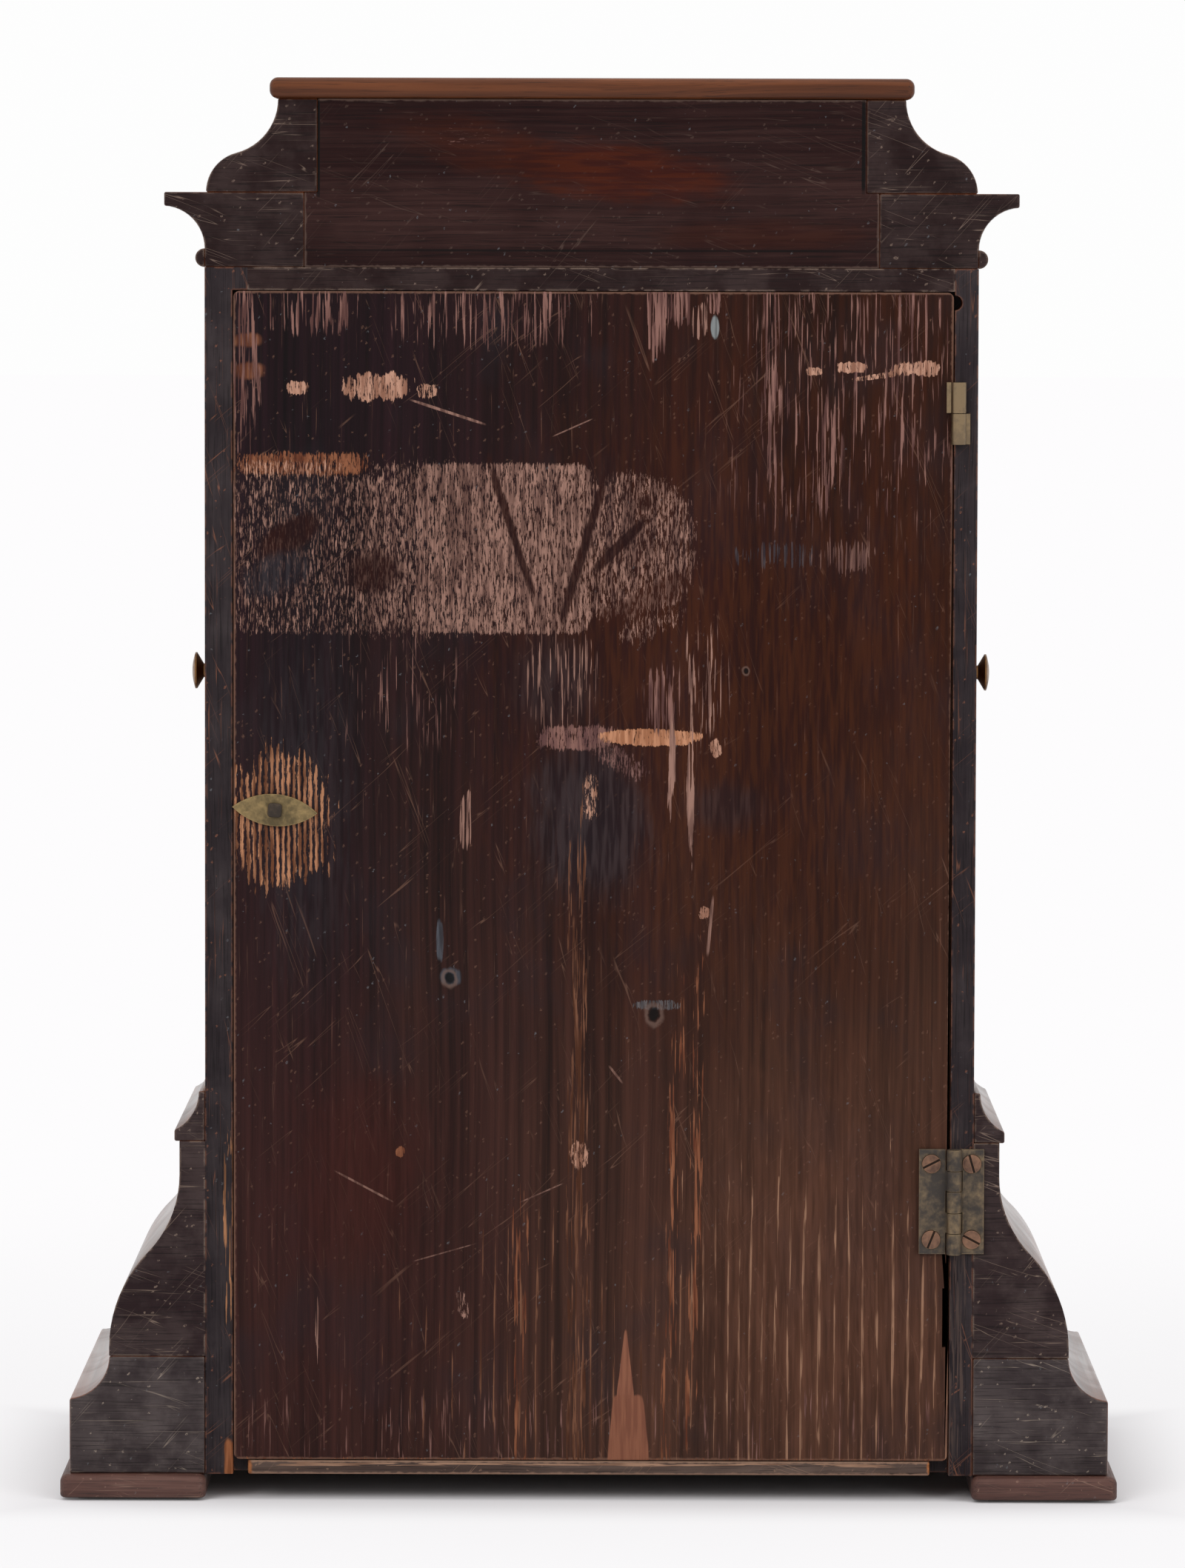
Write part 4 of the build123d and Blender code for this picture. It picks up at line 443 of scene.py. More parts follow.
class Effects:
    """The shared effects, each a node group that is made on its first use."""

    def __init__(self) -> None:
        """Starts with no group made."""
        self.made: dict[str, bpy.types.NodeTree] = {}

    def group(self, name: str, inputs: dict[str, tuple[str, Value]], outputs: dict[str, str],
              build: Callable[[Tree, Sockets], Sockets]) -> bpy.types.NodeTree:
        """Makes a node group once.

        Args:
            name: The group's name.
            inputs: Socket kind and default value of each input.
            outputs: Socket kind of each output.
            build: Wires the group and returns the sockets for its outputs.

        Returns:
            The group.
        """
        if name in self.made:
            return self.made[name]
        tree = bpy.data.node_groups.new(name, "ShaderNodeTree")
        for label, (kind, default) in inputs.items():
            socket = tree.interface.new_socket(name=label, in_out="INPUT", socket_type=kind)
            socket.default_value = default
        for label, kind in outputs.items():
            tree.interface.new_socket(name=label, in_out="OUTPUT", socket_type=kind)
        made = Tree(tree)
        entry, leave = made.node("NodeGroupInput"), made.node("NodeGroupOutput")
        results = build(made, {label: entry.outputs[label] for label in inputs})
        for label, socket in results.items():
            made.feed(socket, leave.inputs[label])
        self.made[name] = tree
        return tree

    def grain(self) -> bpy.types.NodeTree:
        """Wood grain along Z: broad figure, fine lines and pores.

        Returns:
            The node group.
        """
        def build(tree: Tree, given: Sockets) -> Sockets:
            """Wires the figure, the fine lines and the pores.

            Args:
                tree: The group's tree.
                given: The group's inputs.

            Returns:
                The sockets for its outputs.
            """
            place = given["Vector"]
            waver = tree.noise(tree.scaled(place, 18, 18, 6), detail=1.0)
            shift = tree.product(tree.minus(waver, 0.5), given["Waver"])
            bent = tree.vector("ADD", place, tree.joined(shift, 0.0, 0.0))
            return {
                "Broad": tree.noise(tree.scaled(bent, 55, 30, 2.6), detail=3.0, roughness=0.55),
                "Fine": tree.noise(tree.scaled(bent, 620, 300, 9), detail=3.0, roughness=0.6),
                "Pores": tree.noise(tree.scaled(bent, 2600, 2600, 60), detail=2.0, roughness=0.5),
            }

        return self.group("Wood grain", {"Vector": (VECTOR, (0, 0, 0)), "Waver": (FLOAT, 0.006)},
                          {"Broad": FLOAT, "Fine": FLOAT, "Pores": FLOAT}, build)

    def patch(self) -> bpy.types.NodeTree:
        """A worn patch on the back: one inside its ragged outline, zero outside.

        Returns:
            The node group.
        """
        def build(tree: Tree, given: Sockets) -> Sockets:
            """Wires the patch's outline.

            Args:
                tree: The group's tree.
                given: The group's inputs.

            Returns:
                The sockets for its outputs.
            """
            x, _, z = tree.split(given["Vector"])
            across = tree.minus(x, given["Centre X"])
            up = tree.minus(z, given["Centre Z"])
            cosine = tree.math("COSINE", given["Turn"])
            sine = tree.math("SINE", given["Turn"])
            turned_x = tree.plus(tree.product(across, cosine), tree.product(up, sine))
            turned_z = tree.minus(tree.product(up, cosine), tree.product(across, sine))
            rising = tree.ratio(turned_z, given["Half Height"])
            narrowing = tree.product(given["Taper"], tree.plus(tree.product(rising, 0.5), 0.5))
            width = tree.product(given["Half Width"], tree.strongest(tree.invert(narrowing), 0.02))
            share_x = tree.ratio(tree.size(turned_x), width)
            power = given["Squareness"]
            total = tree.plus(tree.math("POWER", share_x, power),
                              tree.math("POWER", tree.size(rising), power))
            distance = tree.math("POWER", total, tree.ratio(1.0, power))
            edge = tree.plus(distance, tree.product(given["Push"], given["Ragged"]))
            low = tree.minus(1.0, given["Softness"])
            high = tree.plus(1.0, given["Softness"])
            return {"Mask": tree.invert(tree.rise(edge, low, high))}

        return self.group("Worn patch", {
            "Vector": (VECTOR, (0, 0, 0)), "Centre X": (FLOAT, 0), "Centre Z": (FLOAT, 0),
            "Half Width": (FLOAT, 0.01), "Half Height": (FLOAT, 0.01), "Turn": (FLOAT, 0),
            "Taper": (FLOAT, 0), "Push": (FLOAT, 0), "Ragged": (FLOAT, 0.5), "Softness": (FLOAT, 0.15),
            "Squareness": (FLOAT, 4.0),
        }, {"Mask": FLOAT}, build)

    def scratches(self) -> bpy.types.NodeTree:
        """Thin wandering lines along Z, broken into lengths.

        Returns:
            The node group.
        """
        def build(tree: Tree, given: Sockets) -> Sockets:
            """Wires the lines and the gaps between their lengths.

            Args:
                tree: The group's tree.
                given: The group's inputs.

            Returns:
                The sockets for its outputs.
            """
            x, y, z = tree.split(given["Vector"])
            stretched = tree.joined(tree.product(x, given["Across"]),
                                    tree.product(y, given["Across"]),
                                    tree.product(z, given["Along"]))
            field = tree.noise(stretched, detail=1.0)
            line = tree.invert(tree.rise(tree.size(tree.minus(field, 0.5)),
                                         0.0, given["Width"]))
            gaps = tree.noise(tree.vector("MULTIPLY", stretched, (0.45, 0.45, 2.4)), detail=2.0)
            kept = tree.rise(gaps, given["Sparseness"], tree.plus(given["Sparseness"], 0.08))
            return {"Mask": tree.product(line, kept)}

        return self.group("Scratches", {
            "Vector": (VECTOR, (0, 0, 0)), "Across": (FLOAT, 300), "Along": (FLOAT, 8),
            "Width": (FLOAT, 0.02), "Sparseness": (FLOAT, 0.52),
        }, {"Mask": FLOAT}, build)

    def specks(self) -> bpy.types.NodeTree:
        """Scattered small spots.

        Returns:
            The node group.
        """
        def build(tree: Tree, given: Sockets) -> Sockets:
            """Wires the spots, shoved out of round.

            Args:
                tree: The group's tree.
                given: The group's inputs.

            Returns:
                The sockets for its outputs.
            """
            cells = tree.node("ShaderNodeTexVoronoi")
            finer = tree.product(given["Scale"], 2.6)
            shaken = tree.vector("MULTIPLY", given["Vector"], tree.joined(finer, finer, finer))
            shove = tree.minus(tree.noise(shaken, detail=2.0), 0.5)
            shove = tree.ratio(tree.product(shove, 1.1), given["Scale"])
            shoved = tree.vector("ADD", given["Vector"], tree.joined(shove, shove, tree.product(shove, -1.6)))
            tree.feed(shoved, cells.inputs["Vector"])
            tree.feed(given["Scale"], cells.inputs["Scale"])
            chance, size, _ = tree.split(cells.outputs["Color"])
            radius = tree.product(given["Radius"], tree.plus(size, 0.35))
            spot = tree.invert(tree.rise(cells.outputs["Distance"], tree.product(radius, 0.55), radius))
            chosen = tree.math("LESS_THAN", chance, given["Share"])
            return {"Mask": tree.product(spot, chosen)}

        return self.group("Specks", {
            "Vector": (VECTOR, (0, 0, 0)), "Scale": (FLOAT, 200), "Radius": (FLOAT, 0.2),
            "Share": (FLOAT, 0.2),
        }, {"Mask": FLOAT}, build)

    def edges(self) -> bpy.types.NodeTree:
        """Worn edges: where a rounded normal leaves the true one, broken up by noise.

        Returns:
            The node group.
        """
        def build(tree: Tree, given: Sockets) -> Sockets:
            """Wires the bend of the normal and its breaks.

            Args:
                tree: The group's tree.
                given: The group's inputs.

            Returns:
                The sockets for its outputs.
            """
            bevel = tree.node("ShaderNodeBevel", samples=4)
            tree.feed(given["Radius"], bevel.inputs["Radius"])
            true = tree.node("ShaderNodeNewGeometry").outputs["Normal"]
            agreement = tree.vector("DOT_PRODUCT", bevel.outputs[0], true)
            bend = tree.rise(tree.invert(agreement), 0.01, 0.16)
            broken = tree.rise(tree.noise(given["Vector"], scale=240, detail=3.0), given["Broken"],
                               tree.plus(given["Broken"], 0.14))
            return {"Mask": tree.product(bend, broken)}

        return self.group("Edge wear", {
            "Vector": (VECTOR, (0, 0, 0)), "Radius": (FLOAT, 0.0012), "Broken": (FLOAT, 0.42),
        }, {"Mask": FLOAT}, build)

    def board_edges(self) -> bpy.types.NodeTree:
        """Worn edges of a plain board, by the distance to the nearest edge of its box.

        Returns:
            The node group.
        """
        def build(tree: Tree, given: Sockets) -> Sockets:
            """Wires the distance to the nearest edge.

            Args:
                tree: The group's tree.
                given: The group's inputs.

            Returns:
                The sockets for its outputs.
            """
            offset = tree.vector("ABSOLUTE", tree.vector("SUBTRACT", given["Vector"], given["Centre"]))
            first, second, third = tree.split(tree.vector("SUBTRACT", given["Half"], offset))
            low = tree.math("MINIMUM", first, second)
            high = tree.math("MAXIMUM", first, second)
            nearest = tree.math("MAXIMUM", low, tree.math("MINIMUM", high, third))
            wander = tree.product(tree.noise(given["Vector"], scale=420, detail=3.0), given["Width"], 2.2)
            return {"Mask": tree.invert(tree.rise(nearest, tree.product(wander, 0.35), wander))}

        return self.group("Board edges", {
            "Vector": (VECTOR, (0, 0, 0)), "Centre": (VECTOR, (0, 0, 0)), "Half": (VECTOR, (1, 1, 1)),
            "Width": (FLOAT, 0.0009),
        }, {"Mask": FLOAT}, build)


EFFECTS = Effects()


@dataclass(frozen=True)
class Surface:
    """What a finish hands to its shader.

    Args:
        colour: Base colour.
        roughness: Roughness of the base.
        metallic: Share that is bare metal.
        specular: Strength of the reflection.
        height: Height of the relief, as a share of the bump.
        bump: How far a height of one stands out, in metres.
        coat: Weight of the polish.
        coat_roughness: Roughness of the polish.
    """

    colour: Value
    roughness: Value = 0.5
    metallic: Value = 0.0
    specular: Value = 0.5
    height: Value = 0.0
    bump: float = 0.0
    coat: Value = 0.0
    coat_roughness: float = 0.2


@dataclass(frozen=True)
class Finish:
    """A finish of one kind of surface. Its name is the material's name."""

    name: str

    def paint(self, tree: Tree) -> Surface:
        """Wires the finish up to its shader."""
        raise NotImplementedError

    def shader(self, tree: Tree) -> Socket:
        """Wires the finish and its shader.

        Args:
            tree: The material's tree.

        Returns:
            The shader.
        """
        surface = self.paint(tree)
        made = tree.node("ShaderNodeBsdfPrincipled")
        for label, value in (("Base Color", surface.colour), ("Roughness", surface.roughness),
                             ("Metallic", surface.metallic), ("Specular IOR Level", surface.specular),
                             ("Coat Weight", surface.coat), ("Coat Roughness", surface.coat_roughness)):
            tree.feed(value, made.inputs[label])
        if isinstance(surface.height, Socket):
            tree.feed(tree.bump(surface.height, surface.bump), made.inputs["Normal"])
        return made.outputs[0]

    def material(self) -> bpy.types.Material:
        """The finish as a material, made on its first use.

        Returns:
            The material.
        """
        known = bpy.data.materials.get(self.name)
        if known and known.get(OWN):
            return known
        made = bpy.data.materials.new(self.name)
        made[OWN] = True
        made.use_nodes = True
        made.node_tree.nodes.clear()
        tree = Tree(made.node_tree)
        tree.close("ShaderNodeOutputMaterial", self.shader(tree))
        return made


class Break(Enum):
    """How bare wood breaks through the stain inside a mark."""

    FLAKES = "short flakes"
    STRIPS = "long strips"
    RIBS = "closely set ribs"
    RIDGES = "growth ridges"
    SMEAR = "an even smear"


@dataclass(frozen=True)
class Mark:
    """One worn mark on the rear door, given by its rectangle in the photo.

    Args:
        left: Left column.
        top: Top row.
        right: Right column.
        bottom: Bottom row.
        low: Colour of the duller bare wood.
        high: Colour of the barest wood.
        cover: Share of the mark that is bare.
        kind: How the bare wood breaks through.
        turn: Turn in degrees, anticlockwise in the photo.
        ragged: How broken the outline is.
        soft: How soft the outline is.
        square: Two for an ellipse, more for a rectangle.
        taper: How much narrower the top is.
    """

    left: float
    top: float
    right: float
    bottom: float
    low: Colour
    high: Colour
    cover: float = 0.9
    kind: Break = Break.FLAKES
    turn: float = 0.0
    ragged: float = 0.7
    soft: float = 0.15
    square: float = 3.0
    taper: float = 0.0

    def mask(self, tree: Tree, place: Socket, push: Socket) -> Socket:
        """The mark's outline as a mask.

        Args:
            tree: The material's tree.
            place: The object coordinates.
            push: Noise that pushes the outline in and out.

        Returns:
            The mask.
        """
        x_left, z_top = VIEWPOINT.on_back(self.left, self.top)
        x_right, z_bottom = VIEWPOINT.on_back(self.right, self.bottom)
        return tree.mask(
            EFFECTS.patch(), vector=place, centre_x=(x_left + x_right) / 2, centre_z=(z_top + z_bottom) / 2,
            half_width=abs(x_left - x_right) / 2, half_height=abs(z_top - z_bottom) / 2,
            turn=math.radians(-self.turn), taper=self.taper, push=push, ragged=self.ragged,
            softness=self.soft, squareness=self.square)


class Rubbing:
    """Lays worn marks over a colour, with textures that all the marks of one tree share."""

    skin = (0.0024, 0.0012)
    ring_spacing = 0.0047
    rib_spacing = 0.0021
    bare_span = (1.0, 1.09)
    sink = 0.15

    def __init__(self, tree: Tree, grain: Grain) -> None:
        """Wires the shared textures.

        Args:
            tree: The material's tree.
            grain: The way the grain runs, which the textures follow.
        """
        self.tree = tree
        self.place = tree.place()
        along = tree.along(grain)
        _, y, _ = tree.split(self.place)
        x, _, _ = tree.split(along)
        self.outer = tree.rise(y, *(BACK_PLANE_Y - depth for depth in self.skin))
        waver = tree.noise(tree.scaled(along, 16, 16, 2.2), detail=2.0)
        rings = self.wave(x, self.ring_spacing, tree.product(waver, 26.0))
        ribs = self.wave(x, self.rib_spacing, tree.product(waver, 30.0))
        strips = tree.rise(tree.noise(tree.scaled(along, 1400, 1400, 46), detail=2.0), 0.33, 0.67)
        flakes = tree.rise(tree.noise(tree.scaled(along, 1700, 1700, 250), detail=5.0, roughness=0.72),
                           0.33, 0.67)
        self.rings = rings
        self.tint = tree.rise(tree.noise(tree.scaled(along, 700, 700, 60), detail=2.0), 0.36, 0.64)
        self.textures: dict[Break, Value] = {
            Break.FLAKES: flakes,
            Break.STRIPS: strips,
            Break.RIBS: tree.plus(tree.product(ribs, 0.5), tree.product(flakes, 0.5)),
            Break.RIDGES: tree.product(tree.rise(rings, 0.80, 1.0),
                                       tree.plus(tree.product(strips, 0.7), 0.32)),
        }
        fray = tree.noise(tree.scaled(along, 620, 620, 120), detail=4.0, roughness=0.6)
        lumps = tree.noise(tree.scaled(along, 110, 110, 60), detail=2.0)
        self.push = tree.minus(tree.plus(fray, lumps), 1.0)

    def wave(self, across: Socket, spacing: float, shift: Socket) -> Socket:
        """Lines along the grain, as a wave between 0 and 1 that the shift bends."""
        phase = self.tree.plus(self.tree.product(across, math.tau / spacing), shift)
        return self.tree.plus(self.tree.product(self.tree.math("SINE", phase), 0.5), 0.5)

    def over(self, marks: Iterable[Mark], colour: Socket, height: Socket) -> tuple[Socket, Socket]:
        """Lays the marks over the colour, in their order, and sinks them a little.

        Args:
            marks: The marks.
            colour: The colour under them.
            height: The height under them.

        Returns:
            The colour and the height with the marks.
        """
        tree = self.tree
        for mark in marks:
            bare = tree.product(mark.mask(tree, self.place, self.push), self.outer, mark.cover)
            if mark.kind is not Break.SMEAR:
                bare = tree.rise(tree.plus(self.textures[mark.kind], bare), *self.bare_span)
                height = tree.minus(height, tree.product(bare, self.sink))
            colour = tree.blend(bare, colour, tree.blend(self.tint, mark.low, mark.high))
        return colour, height


@dataclass(frozen=True)
class StainedPine(Finish):
    """Dark stained pine of the carcass, dry and rubbed through in places.

    Args:
        dark: Colour of the stain.
        light: Colour where the stain is thin.
        rubbed: Bare wood showing at edges and scratches.
        grain: The way the grain runs.
        wear: How much of the rubbed colour shows.
        board: The node whose box gives the worn edges, if the piece is a plain board.
        marks: Worn marks of the back face.
        scored: Strength of the thin lines along the grain.
        figure: Strength of the grain's light and dark.
        gloss: Strength of the reflection.
    """

    dark: Colour = seen(42, 34, 34)
    light: Colour = seen(60, 47, 45)
    rubbed: Colour = seen(122, 92, 78)
    grain: Grain = Grain.UPRIGHT
    wear: float = 0.7
    board: str = ""
    marks: tuple[Mark, ...] = ()
    scored: float = 0.5
    figure: float = 1.0
    gloss: float = 0.12
    knocks: ClassVar[tuple[tuple[float, float], ...]] = ((0.85, 0.58), (-0.35, 0.56))

    def worn_edges(self, tree: Tree) -> Socket:
        """The worn edges, from the board's own box where the finish names one.

        Args:
            tree: The material's tree.

        Returns:
            The mask of the worn edges.
        """
        if not self.board:
            return tree.mask(EFFECTS.edges(), vector=tree.place(), radius=0.0013)
        low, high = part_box(self.board)
        return tree.mask(EFFECTS.board_edges(), vector=tree.place(), centre=tuple((low + high) / 2),
                         half=tuple((high - low) / 2))

    def wood(self, tree: Tree) -> tuple[Socket, Socket, Socket]:
        """Wires the stained wood with its wear and its marks.

        Args:
            tree: The material's tree.

        Returns:
            Its colour, roughness and height.
        """
        place = tree.along(self.grain)
        grain = tree.use(EFFECTS.grain(), vector=place)
        broad = tree.rise(grain.outputs["Broad"], *BROAD_SPAN)
        fine = tree.rise(grain.outputs["Fine"], *FINE_SPAN)
        mottle = tree.rise(tree.noise(tree.place(), scale=70, detail=5.0, roughness=0.62), 0.36, 0.66)
        tone = tree.plus(tree.product(broad, 0.55), tree.product(fine, 0.45))
        tone = tree.plus(tree.product(tone, self.figure), tree.product(mottle, 1.0 - self.figure))
        colour = tree.blend(tone, self.dark, self.light)
        cloud = tree.rise(tree.noise(tree.place(), scale=34, detail=4.0), 0.42, 0.66)
        colour = tree.lay(colour, self.dark, cloud, 0.45)
        pores = tree.rise(grain.outputs["Pores"], 0.34, 0.46)
        colour = tree.lay(colour, seen(28, 24, 25), tree.invert(pores), 0.5)
        colour, roughness, height = self.wear_over(tree, place, colour, grain)
        if self.marks:
            colour, height = Rubbing(tree, self.grain).over(self.marks, colour, height)
        return colour, roughness, height

    def wear_over(self, tree: Tree, place: Socket, colour: Socket,
                  grain: bpy.types.Node) -> tuple[Socket, Socket, Socket]:
        """Lays scratches, specks, dust and worn edges over the stained colour.

        Args:
            tree: The material's tree.
            place: Coordinates with the grain along Z.
            colour: The stained colour.
            grain: The node of the wood grain.

        Returns:
            The colour, roughness and height.
        """
        lines = tree.mask(EFFECTS.scratches(), vector=place, across=760.0, along=14.0, width=0.016,
                          sparseness=0.54)
        knocks = []
        for angle, sparseness in self.knocks:
            turned = tree.node("ShaderNodeVectorRotate", rotation_type="Y_AXIS")
            tree.feed(place, turned.inputs["Vector"])
            turned.inputs["Angle"].default_value = angle
            knocks.append(tree.mask(EFFECTS.scratches(), vector=turned.outputs[0], across=330.0, along=13.0,
                                    width=0.010, sparseness=sparseness))
        dots = tree.mask(EFFECTS.specks(), vector=place, scale=640.0, radius=0.26, share=0.15)
        dust = tree.mask(EFFECTS.specks(), vector=tree.place(), scale=520.0, radius=0.2, share=0.10)
        marks = tree.strongest(tree.product(lines, self.scored), tree.product(dots, 0.5),
                               tree.product(tree.strongest(*knocks), 0.6),
                               tree.product(self.worn_edges(tree), 0.85))
        colour = tree.lay(colour, self.rubbed, marks, self.wear)
        colour = tree.lay(colour, seen(120, 122, 126), dust, 0.35)
        roughness = tree.plus(0.46, tree.product(grain.outputs["Fine"], 0.2))
        height = tree.minus(tree.product(grain.outputs["Fine"], 0.7), tree.product(lines, 0.4))
        return colour, roughness, height

    def paint(self, tree: Tree) -> Surface:
        """Wires the stained wood."""
        colour, roughness, height = self.wood(tree)
        return Surface(colour, roughness, specular=self.gloss, height=height, bump=0.00018)


@dataclass(frozen=True)
class PolishedWood(Finish):
    """French-polished wood of the front and sides, with a plain stained back face.

    Args:
        dark: Colour of the dark figure.
        light: Colour of the light figure.
        line: Colour of the pores and the mitre lines.
        rubbed: Colour of the worn edges.
        back: Finish of the back face, or None where the back is polished too.
        grain: The way the grain runs on the polished faces.
        coat: Weight of the polish.
        sheen: Strength of the reflection under the polish.
        mitred: Whether the piece is a moulding that turns the front corners.
    """

    dark: Colour = srgb(50, 24, 14)
    light: Colour = srgb(112, 58, 30)
    line: Colour = srgb(28, 16, 12)
    rubbed: Colour = srgb(150, 98, 62)
    back: StainedPine | None = None
    grain: Grain = Grain.LEVEL
    coat: float = 0.45
    sheen: float = 0.35
    mitred: bool = False

    def turned(self, tree: Tree) -> tuple[Socket, Value]:
        """Turns the grain at the mitres.

        Args:
            tree: The material's tree.

        Returns:
            Coordinates with the grain along Z, and the mask of the mitre lines.
        """
        level = tree.along(self.grain)
        if not self.mitred:
            return level, 0.0
        x, y, _ = tree.split(tree.place())
        case_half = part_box("case_side_latch")[1][0]
        case_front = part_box("front_door_frame")[0][1]
        past_side = tree.minus(tree.size(x), case_half)
        past_front = tree.minus(case_front, y)
        apart = tree.minus(past_side, past_front)
        share = tree.math("GREATER_THAN", apart, 0.0)
        change = tree.vector("SUBTRACT", tree.along(Grain.DEPTH), level)
        place = tree.vector("ADD", level, tree.vector("MULTIPLY", change, tree.joined(share, share, share)))
        return place, tree.rise(tree.size(apart), MITRE_LINE, MITRE_LINE / 2)

    def paint(self, tree: Tree) -> Surface:
        """Wires the polished faces and mixes in the stained back face.

        Args:
            tree: The material's tree.

        Returns:
            What the shader needs.
        """
        place, mitre = self.turned(tree)
        grain = tree.use(EFFECTS.grain(), vector=place, waver=0.02)
        broad = tree.rise(grain.outputs["Broad"], 0.32, 0.7)
        fine = tree.rise(grain.outputs["Fine"], 0.35, 0.68)
        tone = tree.plus(tree.product(broad, 0.7), tree.product(fine, 0.3))
        colour = tree.blend(tone, self.dark, self.light)
        pores = tree.invert(tree.rise(grain.outputs["Pores"], 0.3, 0.4))
        colour = tree.lay(colour, self.line, pores, 0.6)
        colour = tree.lay(colour, self.line, mitre, 0.7)
        worn = tree.mask(EFFECTS.edges(), vector=tree.place(), radius=0.0012, broken=0.46)
        colour = tree.lay(colour, self.rubbed, worn, 0.5)
        smears = tree.noise(tree.place(), scale=42, detail=3.0)
        roughness = tree.plus(0.28, tree.product(tree.rise(smears, 0.4, 0.7), 0.12))
        height = tree.product(grain.outputs["Fine"], 0.3)
        if self.back is None:
            return Surface(colour, roughness, specular=self.sheen, coat=self.coat, height=height,
                           bump=0.0001)
        back_colour, back_roughness, back_height = self.back.wood(tree)
        _, outward, _ = tree.split(tree.facing())
        behind = tree.rise(outward, 0.55, 0.9)
        return Surface(
            tree.blend(behind, colour, back_colour),
            tree.plus(tree.product(roughness, tree.invert(behind)), tree.product(back_roughness, behind)),
            specular=tree.minus(self.sheen, tree.product(behind, self.sheen - self.back.gloss)),
            coat=tree.product(tree.invert(behind), self.coat),
            height=tree.plus(height, tree.product(back_height, behind)), bump=0.00014)


ORANGE = (seen(134, 96, 80), seen(180, 138, 118))
RUST = (seen(92, 56, 44), seen(134, 88, 66))
TAN = (seen(100, 75, 68), seen(148, 114, 102))
PINK = (seen(84, 60, 57), seen(132, 98, 90))
BLUE_BLACK = (seen(38, 35, 38), seen(58, 54, 57))
STAIN = (seen(42, 31, 31), seen(50, 34, 32))

